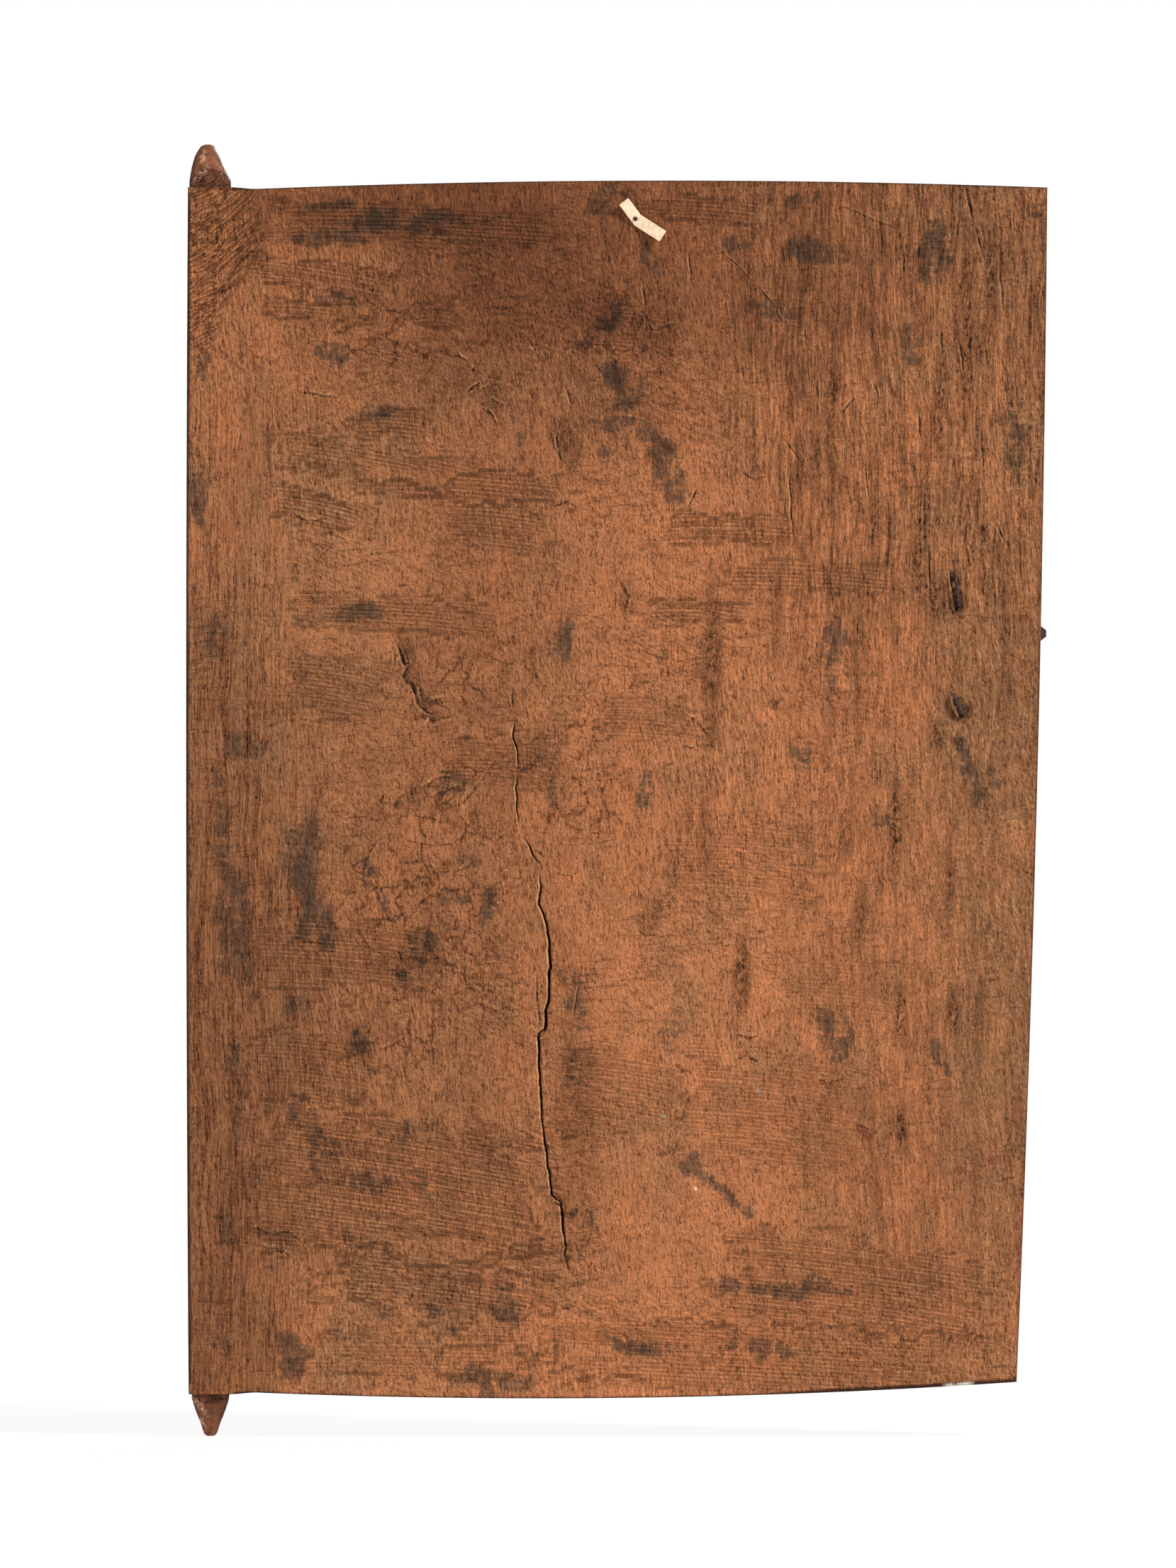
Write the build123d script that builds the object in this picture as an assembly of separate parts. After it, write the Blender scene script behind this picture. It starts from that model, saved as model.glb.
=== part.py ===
"""Dogon granary door: a shutter hewn from one plank, with a wooden tumbler lock.

The door stands upright, as it hangs in its granary. +Z runs up the hinge axis, +X from the hinge
stile to the free edge, and the back of the door faces -Y. The origin is on the hinge axis, at the
shoulder of the lower pivot. All sizes are in millimetres.
"""
import os
from math import cos, radians, sin

from build123d import *

# ---------------------------------------------------------------- plank
BOARD_THICK = 25.0          # plank thickness, the same as its stile
SHOULDER_HEIGHT = 681.2     # lower pivot shoulder to upper pivot shoulder
LEFT_TOP = 12.4             # hinge axis to the hinge edge at the upper shoulder
LEFT_MID = 13.4             # the same half way up
LEFT_FOOT = 12.0            # the same at the lower shoulder
REACH = 473.4               # hinge axis to the free edge at the top corner
DRAW_IN_MID = 5.8           # the free edge draws in by this much half way down
DRAW_IN_FOOT = 17.4         # and by this much at the bottom corner
SHOULDER_FLAT = 26.0        # both shoulders are square this far from the hinge axis
TOP_CROWN_AT = 297.0        # where the top edge is highest
TOP_CROWN = 4.6             # how far it rises there above the upper shoulder
TOP_CORNER_RISE = 0.8       # free top corner above the upper shoulder
FOOT_BOW_AT = 185.0         # where the bottom edge is lowest
FOOT_BOW = 3.3              # how far it drops there below the lower shoulder
FOOT_CORNER_RISE = 6.0      # free bottom corner above the lower shoulder
CORNER_ROUND = 1.8          # worn free corners
EDGE_LEAN = 1.0             # the edges draw in by this much from the front face to the back
BACK_ARRIS = 1.0            # worn chamfer round the back face

# ---------------------------------------------------------------- pivots
PIVOT_TOP_R = 12.2          # worn round band of the upper pivot
PIVOT_TOP_BAND = 4.0
PIVOT_TOP_HEIGHT = 24.6
PIVOT_TOP_LEAN = 2.0        # its worn tip leans towards the hinge edge
PIVOT_TOP_WAIST_R = 9.2
PIVOT_TOP_NOSE_R = 5.2
PIVOT_FOOT_R = 11.4         # worn round band of the lower pivot
PIVOT_FOOT_BAND = 3.0
PIVOT_FOOT_HEIGHT = 24.0
PIVOT_FOOT_NOSE_R = 3.4
PIVOT_ROOT = 14.0           # height of the square-cut timber that each pivot grows out of

# ---------------------------------------------------------------- carved front
RELIEF = 4.5                # depth of the ground round the carved figures
STILE_WIDTH = 44.0          # plain stile along the hinge edge
RIM = 15.0                  # plain rim along the top, the bottom and the free edge
BAND = 18.0                 # plain band between two rows
ROW_HEIGHTS = [150.0, 150.0, 192.0]
ROW_COUNTS = [9, 9, 6]
TOP_ROW_COUNT = 9
FIGURE_FILL = 0.43          # a figure's half width as a share of its place in the row
LOCK_PAD = 22.0             # uncarved wood left beside the lock and its bolt

# ---------------------------------------------------------------- lock case
LOCK_SETBACK = 46.6         # middle of the lock, in from the free edge
BOLT_Z = 429.6              # middle of the bolt, above the lower shoulder
CASE_WIDTH = 56.0           # at the bolt
CASE_FOOT_WIDTH = 42.0
CASE_SHOULDER_WIDTH = 50.0
CASE_DEPTH = 36.0           # at the bolt
CASE_END_DEPTH = 25.0       # at its foot and its shoulders
CASE_BELOW = 62.0           # bolt axis to the foot of the case
CASE_ABOVE = 72.0           # bolt axis to its shoulders
CHEEK_BELOW = 22.0          # the full width runs from this much below the bolt axis
CHEEK_ABOVE = 30.0          # to this much above it
CASE_ARRIS = 3.0            # chamfer along the front edges
NECK_R = 5.2
NECK_HEIGHT = 9.0
CHIN_R = 4.6
HEAD_R = 8.4
BROW_R = 6.6
CROWN_R = 2.6
CHIN_TO_CHEEK = 11.0
CHEEK_TO_BROW = 10.0
BROW_TO_CROWN = 9.0
HEAD_SPACING = 25.0         # between the two heads on the shoulders
HEAD_SINK = 3.0             # the neck's root below the shoulders
PARED_SIDES = 8             # whittled wood and forged iron rounds are eight-sided

# ---------------------------------------------------------------- bolt
BOLT_HEIGHT = 22.0
BOLT_DEPTH = 20.0
BOLT_PEEP = 3.1             # the withdrawn bolt shows this much past the free edge
BOLT_TIP_FLAT = 3.6         # height left at the worn end
BOLT_TIP_TAPER = 12.0       # length of the tapered end
BOLT_GAP = 0.5              # running clearance of the bolt in its channel
BOLT_TRAVEL = 20.0          # from withdrawn to locked
STOP_GAP = 0.4              # left between the bolt's head and the case when it is locked
GRIP_LENGTH = 26.0          # head of the bolt, which is its handle and its stop
GRIP_HEIGHT = 32.0
GRIP_DEPTH = 26.0
GRIP_ARRIS = 3.0
KEY_SLOT_HEIGHT = 8.0
KEY_SLOT_WIDTH = 10.0
KEY_SLOT_ROOF = 8.0         # wood between the key slot and the top of the bolt
KEY_SLOT_SPARE = 6.0        # the slot ends this much past the last tumbler hole

# ---------------------------------------------------------------- tumblers
TUMBLER_R = 2.4
TUMBLER_PITCH = 28.0        # one each side of the upper nail
TUMBLER_HEAD_R = 4.0
TUMBLER_HEAD_HEIGHT = 6.0
TUMBLER_GAP = 0.3           # round the shank, and under it where it rests above the bolt
TUMBLER_LIFT = 10.0
TUMBLER_POINT = 0.8         # chamfer at its lower end
DROP_SPARE = 1.0            # the head stays this much off the chamber floor when it has dropped
CHAMBER_FLOOR = 30.4        # chamber floor above the bolt axis
CHAMBER_WIDTH = 42.0
CHAMBER_DEPTH = 17.0

# ---------------------------------------------------------------- nails
NAIL_R = 1.2
NAIL_FIT = 0.1
NAIL_HEAD_R = 5.0
NAIL_HEAD_HEIGHT = 2.4
NAIL_HEAD_EDGE = 1.0
NAIL_BEND_R = 2.4           # middle line of the clinched bend
NAIL_BEND_TURNS = [0, 30, 60, 90]
NAIL_POINT_R = 0.5
NAIL_SCOOP_R = 3.4          # torn wood where each nail comes out
NAIL_SCOOP_DEPTH = 1.6
UPPER_NAIL_RISE = 14.8      # upper nail above the bolt axis
UPPER_NAIL_CLINCH = 19.6    # length bent over on the back
UPPER_NAIL_LEAN = 8.0       # degrees that it leans towards the hinge
LOWER_NAIL_DROP = 46.0      # lower nail below the bolt axis
LOWER_NAIL_SHIFT = 1.7      # lower nail beside the middle of the lock
LOWER_NAIL_CLINCH = 13.2
LOWER_NAIL_LEAN = 25.0

# ---------------------------------------------------------------- paper tag and its tack
TAG_THICK = 0.4
TAG_CREASE_LENGTH = 7.0
TAG_SHORT_LEG = 13.2
TAG_LONG_LEG = 17.2
TAG_CREASE_X = 241.4        # middle of the crease, from the hinge axis
TAG_CREASE_DROP = 18.6      # and below the upper shoulder
TAG_CREASE_TILT = 60.2      # the crease's slope above the horizontal, degrees
TAG_SHORT_SKEW = 23.0       # each leg's lean away from square to the crease, degrees
TAG_LONG_SKEW = -3.0
TAG_SHORT_LIFT = 9.0        # how far each leg lifts off the board, degrees
TAG_LONG_LIFT = 8.0
TAG_GAP = 0.3               # the crease stands this much off the board
TACK_SETBACK = 1.4          # tack beside the crease, on the short leg
TACK_SHANK_R = 0.6
TACK_POINT_R = 0.25
TACK_LENGTH = 9.0
TACK_HEAD_R = 1.3
TACK_HEAD_HEIGHT = 0.9
TACK_FIT = 0.1

# ---------------------------------------------------------------- worked out
def free_edge_at(z):
    """Distance of the free edge from the hinge axis at height z, at the front face."""
    down = 1 - z / SHOULDER_HEIGHT
    bow = 4 * down * (1 - down) * (DRAW_IN_FOOT / 2 - DRAW_IN_MID)
    return REACH - DRAW_IN_FOOT * down + bow


BACK_Y = -BOARD_THICK / 2
FRONT_Y = BOARD_THICK / 2
LOCK_X = free_edge_at(BOLT_Z) - LOCK_SETBACK
BOLT_TIP_X = free_edge_at(BOLT_Z) + BOLT_PEEP
TAG_CREASE_Z = SHOULDER_HEIGHT - TAG_CREASE_DROP
BOLT_REAR_Y = FRONT_Y + BOLT_GAP
BOLT_FRONT_Y = BOLT_REAR_Y + BOLT_DEPTH
BOLT_TOP_Z = BOLT_Z + BOLT_HEIGHT / 2
BOLT_MID_Y = BOLT_REAR_Y + BOLT_DEPTH / 2
CASE_LEFT_X = LOCK_X - CASE_WIDTH / 2
GRIP_RIGHT_X = CASE_LEFT_X - BOLT_TRAVEL - STOP_GAP
GRIP_LEFT_X = GRIP_RIGHT_X - GRIP_LENGTH
SLOT_TOP_Z = BOLT_TOP_Z - KEY_SLOT_ROOF
TUMBLER_XS = [LOCK_X - TUMBLER_PITCH / 2, LOCK_X + TUMBLER_PITCH / 2]
TUMBLER_FOOT_Z = BOLT_TOP_Z + TUMBLER_GAP
TUMBLER_DROP = KEY_SLOT_ROOF + TUMBLER_GAP
CHAMBER_FLOOR_Z = BOLT_Z + CHAMBER_FLOOR
TUMBLER_NECK_Z = CHAMBER_FLOOR_Z + TUMBLER_DROP + DROP_SPARE
TUMBLER_TOP_Z = TUMBLER_NECK_Z + TUMBLER_HEAD_HEIGHT
CHAMBER_TOP_Z = TUMBLER_TOP_Z + TUMBLER_LIFT + DROP_SPARE

OVERCUT = 2.0               # cutters reach this far past the faces they cut


def upright(y):
    """A drawing plane at depth y, seen from the front of the door: x is +X, y is +Z."""
    return Plane(origin=(0, y, 0), x_dir=(1, 0, 0), z_dir=(0, -1, 0))


def flat(z):
    """A drawing plane at height z."""
    return Plane.XY.offset(z)


def across(x, y, z):
    """A plane across a nail or a tack, at a point of its middle line."""
    return Plane(origin=(x, y, z), x_dir=(1, 0, 0), z_dir=(0, 1, 0))


def block(x0, x1, y0, y1, z0, z1):
    """A square-cut block between two corners."""
    solid = Box(x1 - x0, y1 - y0, z1 - z0)
    return Pos((x0 + x1) / 2, (y0 + y1) / 2, (z0 + z1) / 2) * solid


def rod_y(x, z, radius, y0, y1):
    """A round rod along Y."""
    rod = Cylinder(radius, y1 - y0)
    return Pos(x, (y0 + y1) / 2, z) * Rot(90, 0, 0) * rod


def rod_z(x, y, radius, z0, z1):
    """A round rod along Z."""
    return Pos(x, y, (z0 + z1) / 2) * Cylinder(radius, z1 - z0)


# ---------------------------------------------------------------- the plank
def plank_outline(inset, hinge_inset):
    """The plank seen from the front: hewn edges, square shoulders beside the pivots."""
    top = SHOULDER_HEIGHT - inset
    middle = SHOULDER_HEIGHT / 2
    top_left = (hinge_inset - LEFT_TOP, top)
    top_shoulder = (SHOULDER_FLAT, top)
    top_crown = (TOP_CROWN_AT, top + TOP_CROWN)
    top_right = (REACH - inset, top + TOP_CORNER_RISE)
    right_middle = (REACH - DRAW_IN_MID - inset, middle)
    foot_right = (REACH - DRAW_IN_FOOT - inset, FOOT_CORNER_RISE + inset)
    foot_bow = (FOOT_BOW_AT, inset - FOOT_BOW)
    foot_shoulder = (SHOULDER_FLAT, inset)
    foot_left = (hinge_inset - LEFT_FOOT, inset)
    left_middle = (hinge_inset - LEFT_MID, middle)
    top_edge = Line(top_left, top_shoulder) + Spline(top_shoulder, top_crown, top_right)
    right_edge = ThreePointArc(top_right, right_middle, foot_right)
    foot_edge = Spline(foot_right, foot_bow, foot_shoulder) + Line(foot_shoulder, foot_left)
    left_edge = ThreePointArc(foot_left, left_middle, top_left)
    face = make_face(top_edge + right_edge + foot_edge + left_edge)
    free_corners = face.vertices().sort_by(Axis.X)[-2:]
    return fillet(free_corners, CORNER_ROUND)


def plank():
    """The hewn plank: its cut edges lean in towards the back, and the back has a worn arris."""
    sections = [
        upright(FRONT_Y) * plank_outline(0, 0),
        upright(BACK_Y + BACK_ARRIS) * plank_outline(EDGE_LEAN, 0),
        upright(BACK_Y) * plank_outline(EDGE_LEAN + BACK_ARRIS, BACK_ARRIS),
    ]
    return loft(sections, ruled=True)


def upper_pivot():
    """Square timber, a round band at the shoulder, then a worn cone that leans over."""
    band_top = SHOULDER_HEIGHT + PIVOT_TOP_BAND
    cone_height = PIVOT_TOP_HEIGHT - PIVOT_TOP_BAND
    waist_z = band_top + cone_height * 0.42
    nose_z = band_top + cone_height * 0.86
    tip_z = SHOULDER_HEIGHT + PIVOT_TOP_HEIGHT
    root_z = SHOULDER_HEIGHT - PIVOT_ROOT
    root = block(-LEFT_TOP, LEFT_TOP, BACK_Y, FRONT_Y, root_z, SHOULDER_HEIGHT)
    band = rod_z(0, 0, PIVOT_TOP_R, SHOULDER_HEIGHT, band_top)
    rings = [
        flat(band_top) * Circle(PIVOT_TOP_R),
        flat(waist_z) * Pos(-PIVOT_TOP_LEAN * 0.8, 0) * Circle(PIVOT_TOP_WAIST_R),
        flat(nose_z) * Pos(-PIVOT_TOP_LEAN, 0) * Circle(PIVOT_TOP_NOSE_R),
        flat(tip_z) * Pos(-PIVOT_TOP_LEAN / 2, 0) * Circle(PIVOT_TOP_NOSE_R / 2),
    ]
    return root + band + loft(rings, ruled=True)


def lower_pivot():
    """Square timber, a round band at the shoulder, then a cone down to a blunt nose."""
    tip_z = -PIVOT_FOOT_HEIGHT
    root = block(-LEFT_FOOT, LEFT_FOOT, BACK_Y, FRONT_Y, 0, PIVOT_ROOT)
    band = rod_z(0, 0, PIVOT_FOOT_R, -PIVOT_FOOT_BAND, 0)
    rings = [
        flat(tip_z) * Circle(PIVOT_FOOT_NOSE_R),
        flat(-PIVOT_FOOT_BAND) * Circle(PIVOT_FOOT_R),
    ]
    return root + band + loft(rings, ruled=True)


# ---------------------------------------------------------------- the carved front
# One stylised standing figure with raised arms: (share of its half width, share of its height)
# for its right side, from the crotch round the leg, the arm and the head to the crown.
FIGURE_SIDE = [
    (0.00, 0.30), (0.16, 0.27), (0.26, 0.00), (0.74, 0.00), (0.66, 0.20), (0.56, 0.38),
    (0.34, 0.44), (0.52, 0.62), (1.00, 0.66), (1.00, 0.99), (0.74, 0.99), (0.70, 0.75),
    (0.24, 0.75), (0.22, 0.80), (0.42, 0.85), (0.38, 0.95), (0.16, 1.00),
]


def figure(middle_x, foot_z, half_width, height):
    """The outline of one figure, mirrored about its middle line."""
    right = [(middle_x + u * half_width, foot_z + v * height) for u, v in FIGURE_SIDE]
    left = [(2 * middle_x - x, z) for x, z in reversed(right[1:])]
    return make_face(Polyline(*right, *left, close=True))


def carved_row(x0, x1, z0, z1, count):
    """The sunk ground of one row, round its standing figures."""
    ground = Pos((x0 + x1) / 2, (z0 + z1) / 2) * Rectangle(x1 - x0, z1 - z0)
    place = (x1 - x0) / count
    for number in range(count):
        middle = x0 + place * (number + 0.5)
        ground -= figure(middle, z0, place * FIGURE_FILL, z1 - z0)
    return ground


def carved_grounds():
    """The rows of the front, from the foot up: [ground, ...]."""
    x0 = STILE_WIDTH - LEFT_TOP
    x_free = REACH - DRAW_IN_FOOT - RIM
    x_lock = GRIP_LEFT_X - LOCK_PAD
    rows = []
    z = RIM
    for height, count in zip(ROW_HEIGHTS, ROW_COUNTS):
        beside_lock = z + height > BOLT_Z - CASE_BELOW
        x1 = x_lock if beside_lock else x_free
        rows.append(carved_row(x0, x1, z, z + height, count))
        z += height + BAND
    rows.append(carved_row(x0, x_free, z, SHOULDER_HEIGHT - RIM, TOP_ROW_COUNT))
    return rows


def door_board():
    """Plank, pivots and carved front in one piece, with the holes of the nails and the tack."""
    board = plank() + upper_pivot() + lower_pivot()
    for ground in carved_grounds():
        board -= extrude(upright(FRONT_Y + OVERCUT) * ground, amount=RELIEF + OVERCUT)
    for x, z in (upper_nail_place(), lower_nail_place()):
        board -= rod_y(x, z, NAIL_R + NAIL_FIT, BACK_Y - OVERCUT, FRONT_Y + OVERCUT)
        board -= rod_y(x, z, NAIL_SCOOP_R, BACK_Y - OVERCUT, BACK_Y + NAIL_SCOOP_DEPTH)
    x, z = tack_place()
    board -= rod_y(x, z, TACK_SHANK_R + TACK_FIT, BACK_Y - OVERCUT, BACK_Y + TACK_LENGTH)
    return board


# ---------------------------------------------------------------- the lock
def upper_nail_place():
    """The upper nail's (x, z): between the two tumblers, just above the bolt's channel."""
    return LOCK_X, BOLT_Z + UPPER_NAIL_RISE


def lower_nail_place():
    """The lower nail's (x, z): in the foot of the case."""
    return LOCK_X + LOWER_NAIL_SHIFT, BOLT_Z - LOWER_NAIL_DROP


def case_section(z, width, depth):
    """The case cut across at height z: flat behind, its front corners pared off."""
    half = width / 2
    front = FRONT_Y + depth
    right = [
        (LOCK_X + half, FRONT_Y),
        (LOCK_X + half, front - CASE_ARRIS),
        (LOCK_X + half - CASE_ARRIS, front),
    ]
    left = [(2 * LOCK_X - x, y) for x, y in reversed(right)]
    return flat(z) * make_face(Polyline(*right, *left, close=True))


def case_block():
    """A tapered foot, a full cheek round the bolt and sloped shoulders."""
    sections = [
        case_section(BOLT_Z - CASE_BELOW, CASE_FOOT_WIDTH, CASE_END_DEPTH),
        case_section(BOLT_Z - CHEEK_BELOW, CASE_WIDTH, CASE_DEPTH),
        case_section(BOLT_Z + CHEEK_ABOVE, CASE_WIDTH, CASE_DEPTH),
        case_section(BOLT_Z + CASE_ABOVE, CASE_SHOULDER_WIDTH, CASE_END_DEPTH),
    ]
    return loft(sections, ruled=True)


def pared_ring(plane, radius):
    """One eight-sided section of a whittled or forged round."""
    return plane * RegularPolygon(radius, PARED_SIDES)


def case_head(x):
    """One plain elongated head on its neck, standing on a shoulder of the case."""
    y = FRONT_Y + CASE_END_DEPTH / 2
    root = BOLT_Z + CASE_ABOVE - HEAD_SINK
    chin = BOLT_Z + CASE_ABOVE + NECK_HEIGHT
    cheek = chin + CHIN_TO_CHEEK
    brow = cheek + CHEEK_TO_BROW
    crown = brow + BROW_TO_CROWN
    profile = [(root, NECK_R), (chin, CHIN_R), (cheek, HEAD_R), (brow, BROW_R), (crown, CROWN_R)]
    rings = [pared_ring(Plane(origin=(x, y, z)), radius) for z, radius in profile]
    return loft(rings, ruled=True)


def lock_case():
    """A block with the bolt's channel and the tumbler chamber cut from its back."""
    case = case_block()
    for side in (-1, 1):
        case += case_head(LOCK_X + side * HEAD_SPACING / 2)
    half_channel = BOLT_HEIGHT / 2 + BOLT_GAP
    case -= block(
        CASE_LEFT_X - OVERCUT, CASE_LEFT_X + CASE_WIDTH + OVERCUT,
        FRONT_Y - OVERCUT, BOLT_FRONT_Y + BOLT_GAP, BOLT_Z - half_channel, BOLT_Z + half_channel,
    )
    case -= block(
        LOCK_X - CHAMBER_WIDTH / 2, LOCK_X + CHAMBER_WIDTH / 2,
        FRONT_Y - OVERCUT, FRONT_Y + CHAMBER_DEPTH, CHAMBER_FLOOR_Z, CHAMBER_TOP_Z,
    )
    for x in TUMBLER_XS:
        case -= rod_z(x, BOLT_MID_Y, TUMBLER_R + TUMBLER_GAP, BOLT_Z, CHAMBER_FLOOR_Z + OVERCUT)
    for x, z in (upper_nail_place(), lower_nail_place()):
        seat_y = nail_seat_at(z)
        case -= rod_y(x, z, NAIL_R + NAIL_FIT, FRONT_Y - OVERCUT, seat_y + OVERCUT)
        case -= rod_y(x, z, NAIL_HEAD_R + NAIL_FIT, seat_y, FRONT_Y + CASE_DEPTH + OVERCUT)
    return case


def lock_bolt():
    """Withdrawn bolt: handle and stop on the left, key slot inside, worn taper on the right."""
    half = BOLT_HEIGHT / 2
    taper_x = BOLT_TIP_X - BOLT_TIP_TAPER
    side = Polyline(
        (GRIP_RIGHT_X - OVERCUT, BOLT_Z - half), (taper_x, BOLT_Z - half),
        (BOLT_TIP_X, BOLT_Z - BOLT_TIP_FLAT / 2), (BOLT_TIP_X, BOLT_Z + BOLT_TIP_FLAT / 2),
        (taper_x, BOLT_Z + half), (GRIP_RIGHT_X - OVERCUT, BOLT_Z + half), close=True,
    )
    bar = extrude(upright(BOLT_FRONT_Y) * make_face(side), amount=BOLT_DEPTH)
    grip = block(
        GRIP_LEFT_X, GRIP_RIGHT_X, BOLT_REAR_Y, BOLT_REAR_Y + GRIP_DEPTH,
        BOLT_Z - GRIP_HEIGHT / 2, BOLT_Z + GRIP_HEIGHT / 2,
    )
    grip = chamfer(grip.faces().sort_by(Axis.Y)[-1].edges(), GRIP_ARRIS)
    bolt = bar + grip
    last_hole_x = TUMBLER_XS[-1] - BOLT_TRAVEL
    bolt -= block(
        GRIP_LEFT_X - OVERCUT, last_hole_x + KEY_SLOT_SPARE,
        BOLT_MID_Y - KEY_SLOT_WIDTH / 2, BOLT_MID_Y + KEY_SLOT_WIDTH / 2,
        SLOT_TOP_Z - KEY_SLOT_HEIGHT, SLOT_TOP_Z,
    )
    for x in TUMBLER_XS:
        hole_x = x - BOLT_TRAVEL
        bolt -= rod_z(hole_x, BOLT_MID_Y, TUMBLER_R + TUMBLER_GAP, BOLT_Z, BOLT_TOP_Z + OVERCUT)
    return bolt


def tumbler(x):
    """An iron pin that hangs by its head in the chamber and rests on the bolt."""
    profile = [
        (TUMBLER_FOOT_Z, TUMBLER_R - TUMBLER_POINT),
        (TUMBLER_FOOT_Z + TUMBLER_POINT, TUMBLER_R),
        (TUMBLER_NECK_Z, TUMBLER_R),
    ]
    rings = [pared_ring(Plane(origin=(x, BOLT_MID_Y, z)), radius) for z, radius in profile]
    neck = pared_ring(Plane(origin=(x, BOLT_MID_Y, TUMBLER_NECK_Z)), TUMBLER_HEAD_R)
    head = extrude(neck, TUMBLER_HEAD_HEIGHT)
    return loft(rings, ruled=True) + head


# ---------------------------------------------------------------- nails
def nail_seat_at(z):
    """Depth of the flat that is pared on the front of the case for a nail head at height z."""
    below = max(0, BOLT_Z - CHEEK_BELOW - z + NAIL_HEAD_R)
    share = below / (CASE_BELOW - CHEEK_BELOW)
    return FRONT_Y + CASE_DEPTH - share * (CASE_DEPTH - CASE_END_DEPTH)


def clinched_nail(place, clinch, lean):
    """A forged nail through the case and the plank, bent over upwards on the back."""
    x, z = place
    head_y = nail_seat_at(z)
    leg_y = BACK_Y - NAIL_R - NAIL_FIT
    up = Vector(-sin(radians(lean)), 0, cos(radians(lean)))
    inwards = Vector(0, -1, 0)
    side = up.cross(inwards)
    start = Vector(x, head_y, z)
    bend_start = Vector(x, leg_y + NAIL_BEND_R, z)
    rings = [pared_ring(Plane(origin=start, x_dir=side, z_dir=inwards), NAIL_R)]
    for turn in NAIL_BEND_TURNS:
        rise = NAIL_BEND_R * (1 - cos(radians(turn)))
        reach = NAIL_BEND_R * sin(radians(turn))
        heading = inwards * cos(radians(turn)) + up * sin(radians(turn))
        centre = bend_start + up * rise + inwards * reach
        rings.append(pared_ring(Plane(origin=centre, x_dir=side, z_dir=heading), NAIL_R))
    leg = clinch - NAIL_BEND_R
    for share, radius in ((0.7, NAIL_R * 0.9), (1.0, NAIL_POINT_R)):
        rings.append(pared_ring(Plane(origin=centre + up * leg * share, x_dir=side, z_dir=up), radius))
    head_rings = [
        pared_ring(across(x, head_y, z), NAIL_HEAD_R),
        pared_ring(across(x, head_y + NAIL_HEAD_EDGE, z), NAIL_HEAD_R),
        pared_ring(across(x, head_y + NAIL_HEAD_HEIGHT, z), NAIL_HEAD_R / 2),
    ]
    return loft(rings, ruled=True) + loft(head_rings, ruled=True)


# ---------------------------------------------------------------- paper tag
def crease_direction():
    """The way the crease runs, up and to the right on the back."""
    tilt = radians(TAG_CREASE_TILT)
    return Vector(cos(tilt), 0, sin(tilt))


def tag_leg(side, length, skew, lift):
    """One leg of the tag: a thin strip that lifts off the board from the crease to its square end."""
    crease = crease_direction()
    flat_out = Vector(side * crease.Z, 0, -side * crease.X)
    lifted = flat_out * cos(radians(lift)) + Vector(0, -sin(radians(lift)), 0)
    origin = Vector(TAG_CREASE_X, BACK_Y - TAG_GAP, TAG_CREASE_Z)
    normal = crease.cross(lifted)
    if normal.Y > 0:
        normal = normal * -1
    plane = Plane(origin=origin, x_dir=crease, z_dir=normal)
    away = 1 if plane.to_local_coords(origin + lifted).Y > 0 else -1
    half = TAG_CREASE_LENGTH / 2
    aside, ahead = sin(radians(skew)), away * cos(radians(skew))
    short_side, long_side = length - half * aside, length + half * aside
    outline = Polyline(
        (-half, 0), (half, 0), (half + short_side * aside, short_side * ahead),
        (-half + long_side * aside, long_side * ahead), close=True)
    return extrude(plane * make_face(outline), amount=TAG_THICK)


def tack_place():
    """Where the tack goes in, as (x, z)."""
    crease = crease_direction()
    return TAG_CREASE_X - TACK_SETBACK * crease.Z, TAG_CREASE_Z + TACK_SETBACK * crease.X


def paper_tag():
    """A creased strip of stiff paper, held by a tack beside the crease."""
    tag = tag_leg(-1, TAG_SHORT_LEG, TAG_SHORT_SKEW, TAG_SHORT_LIFT)
    tag += tag_leg(1, TAG_LONG_LEG, TAG_LONG_SKEW, TAG_LONG_LIFT)
    x, z = tack_place()
    return tag - rod_y(x, z, TACK_SHANK_R + TACK_FIT, BACK_Y - TACK_LENGTH, BACK_Y)


def tag_tack():
    """A small forged tack through the tag, its head just proud of the paper."""
    x, z = tack_place()
    lift = radians(TAG_SHORT_LIFT)
    paper_y = BACK_Y - TAG_GAP - TAG_THICK - (TACK_SETBACK + TACK_HEAD_R) * sin(lift)
    head_y = paper_y - TACK_FIT
    profile = [
        (head_y - TACK_HEAD_HEIGHT, TACK_HEAD_R / 2),
        (head_y - TACK_HEAD_HEIGHT / 2, TACK_HEAD_R),
        (head_y, TACK_HEAD_R),
    ]
    rings = [pared_ring(across(x, y, z), radius) for y, radius in profile]
    shank = loft([
        pared_ring(across(x, head_y, z), TACK_SHANK_R),
        pared_ring(across(x, head_y + TACK_LENGTH, z), TACK_POINT_R),
    ])
    return loft(rings, ruled=True) + shank


NODES = {
    "door_board": door_board(),
    "lock_case": lock_case(),
    "lock_bolt": lock_bolt(),
    "left_tumbler": tumbler(TUMBLER_XS[0]),
    "right_tumbler": tumbler(TUMBLER_XS[1]),
    "upper_lock_nail": clinched_nail(upper_nail_place(), UPPER_NAIL_CLINCH, UPPER_NAIL_LEAN),
    "lower_lock_nail": clinched_nail(lower_nail_place(), LOWER_NAIL_CLINCH, LOWER_NAIL_LEAN),
    "paper_tag": paper_tag(),
    "tag_tack": tag_tack(),
}

os.makedirs("parts", exist_ok=True)
for name, shape in NODES.items():
    export_step(shape, f"parts/{name}.step")
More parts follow.
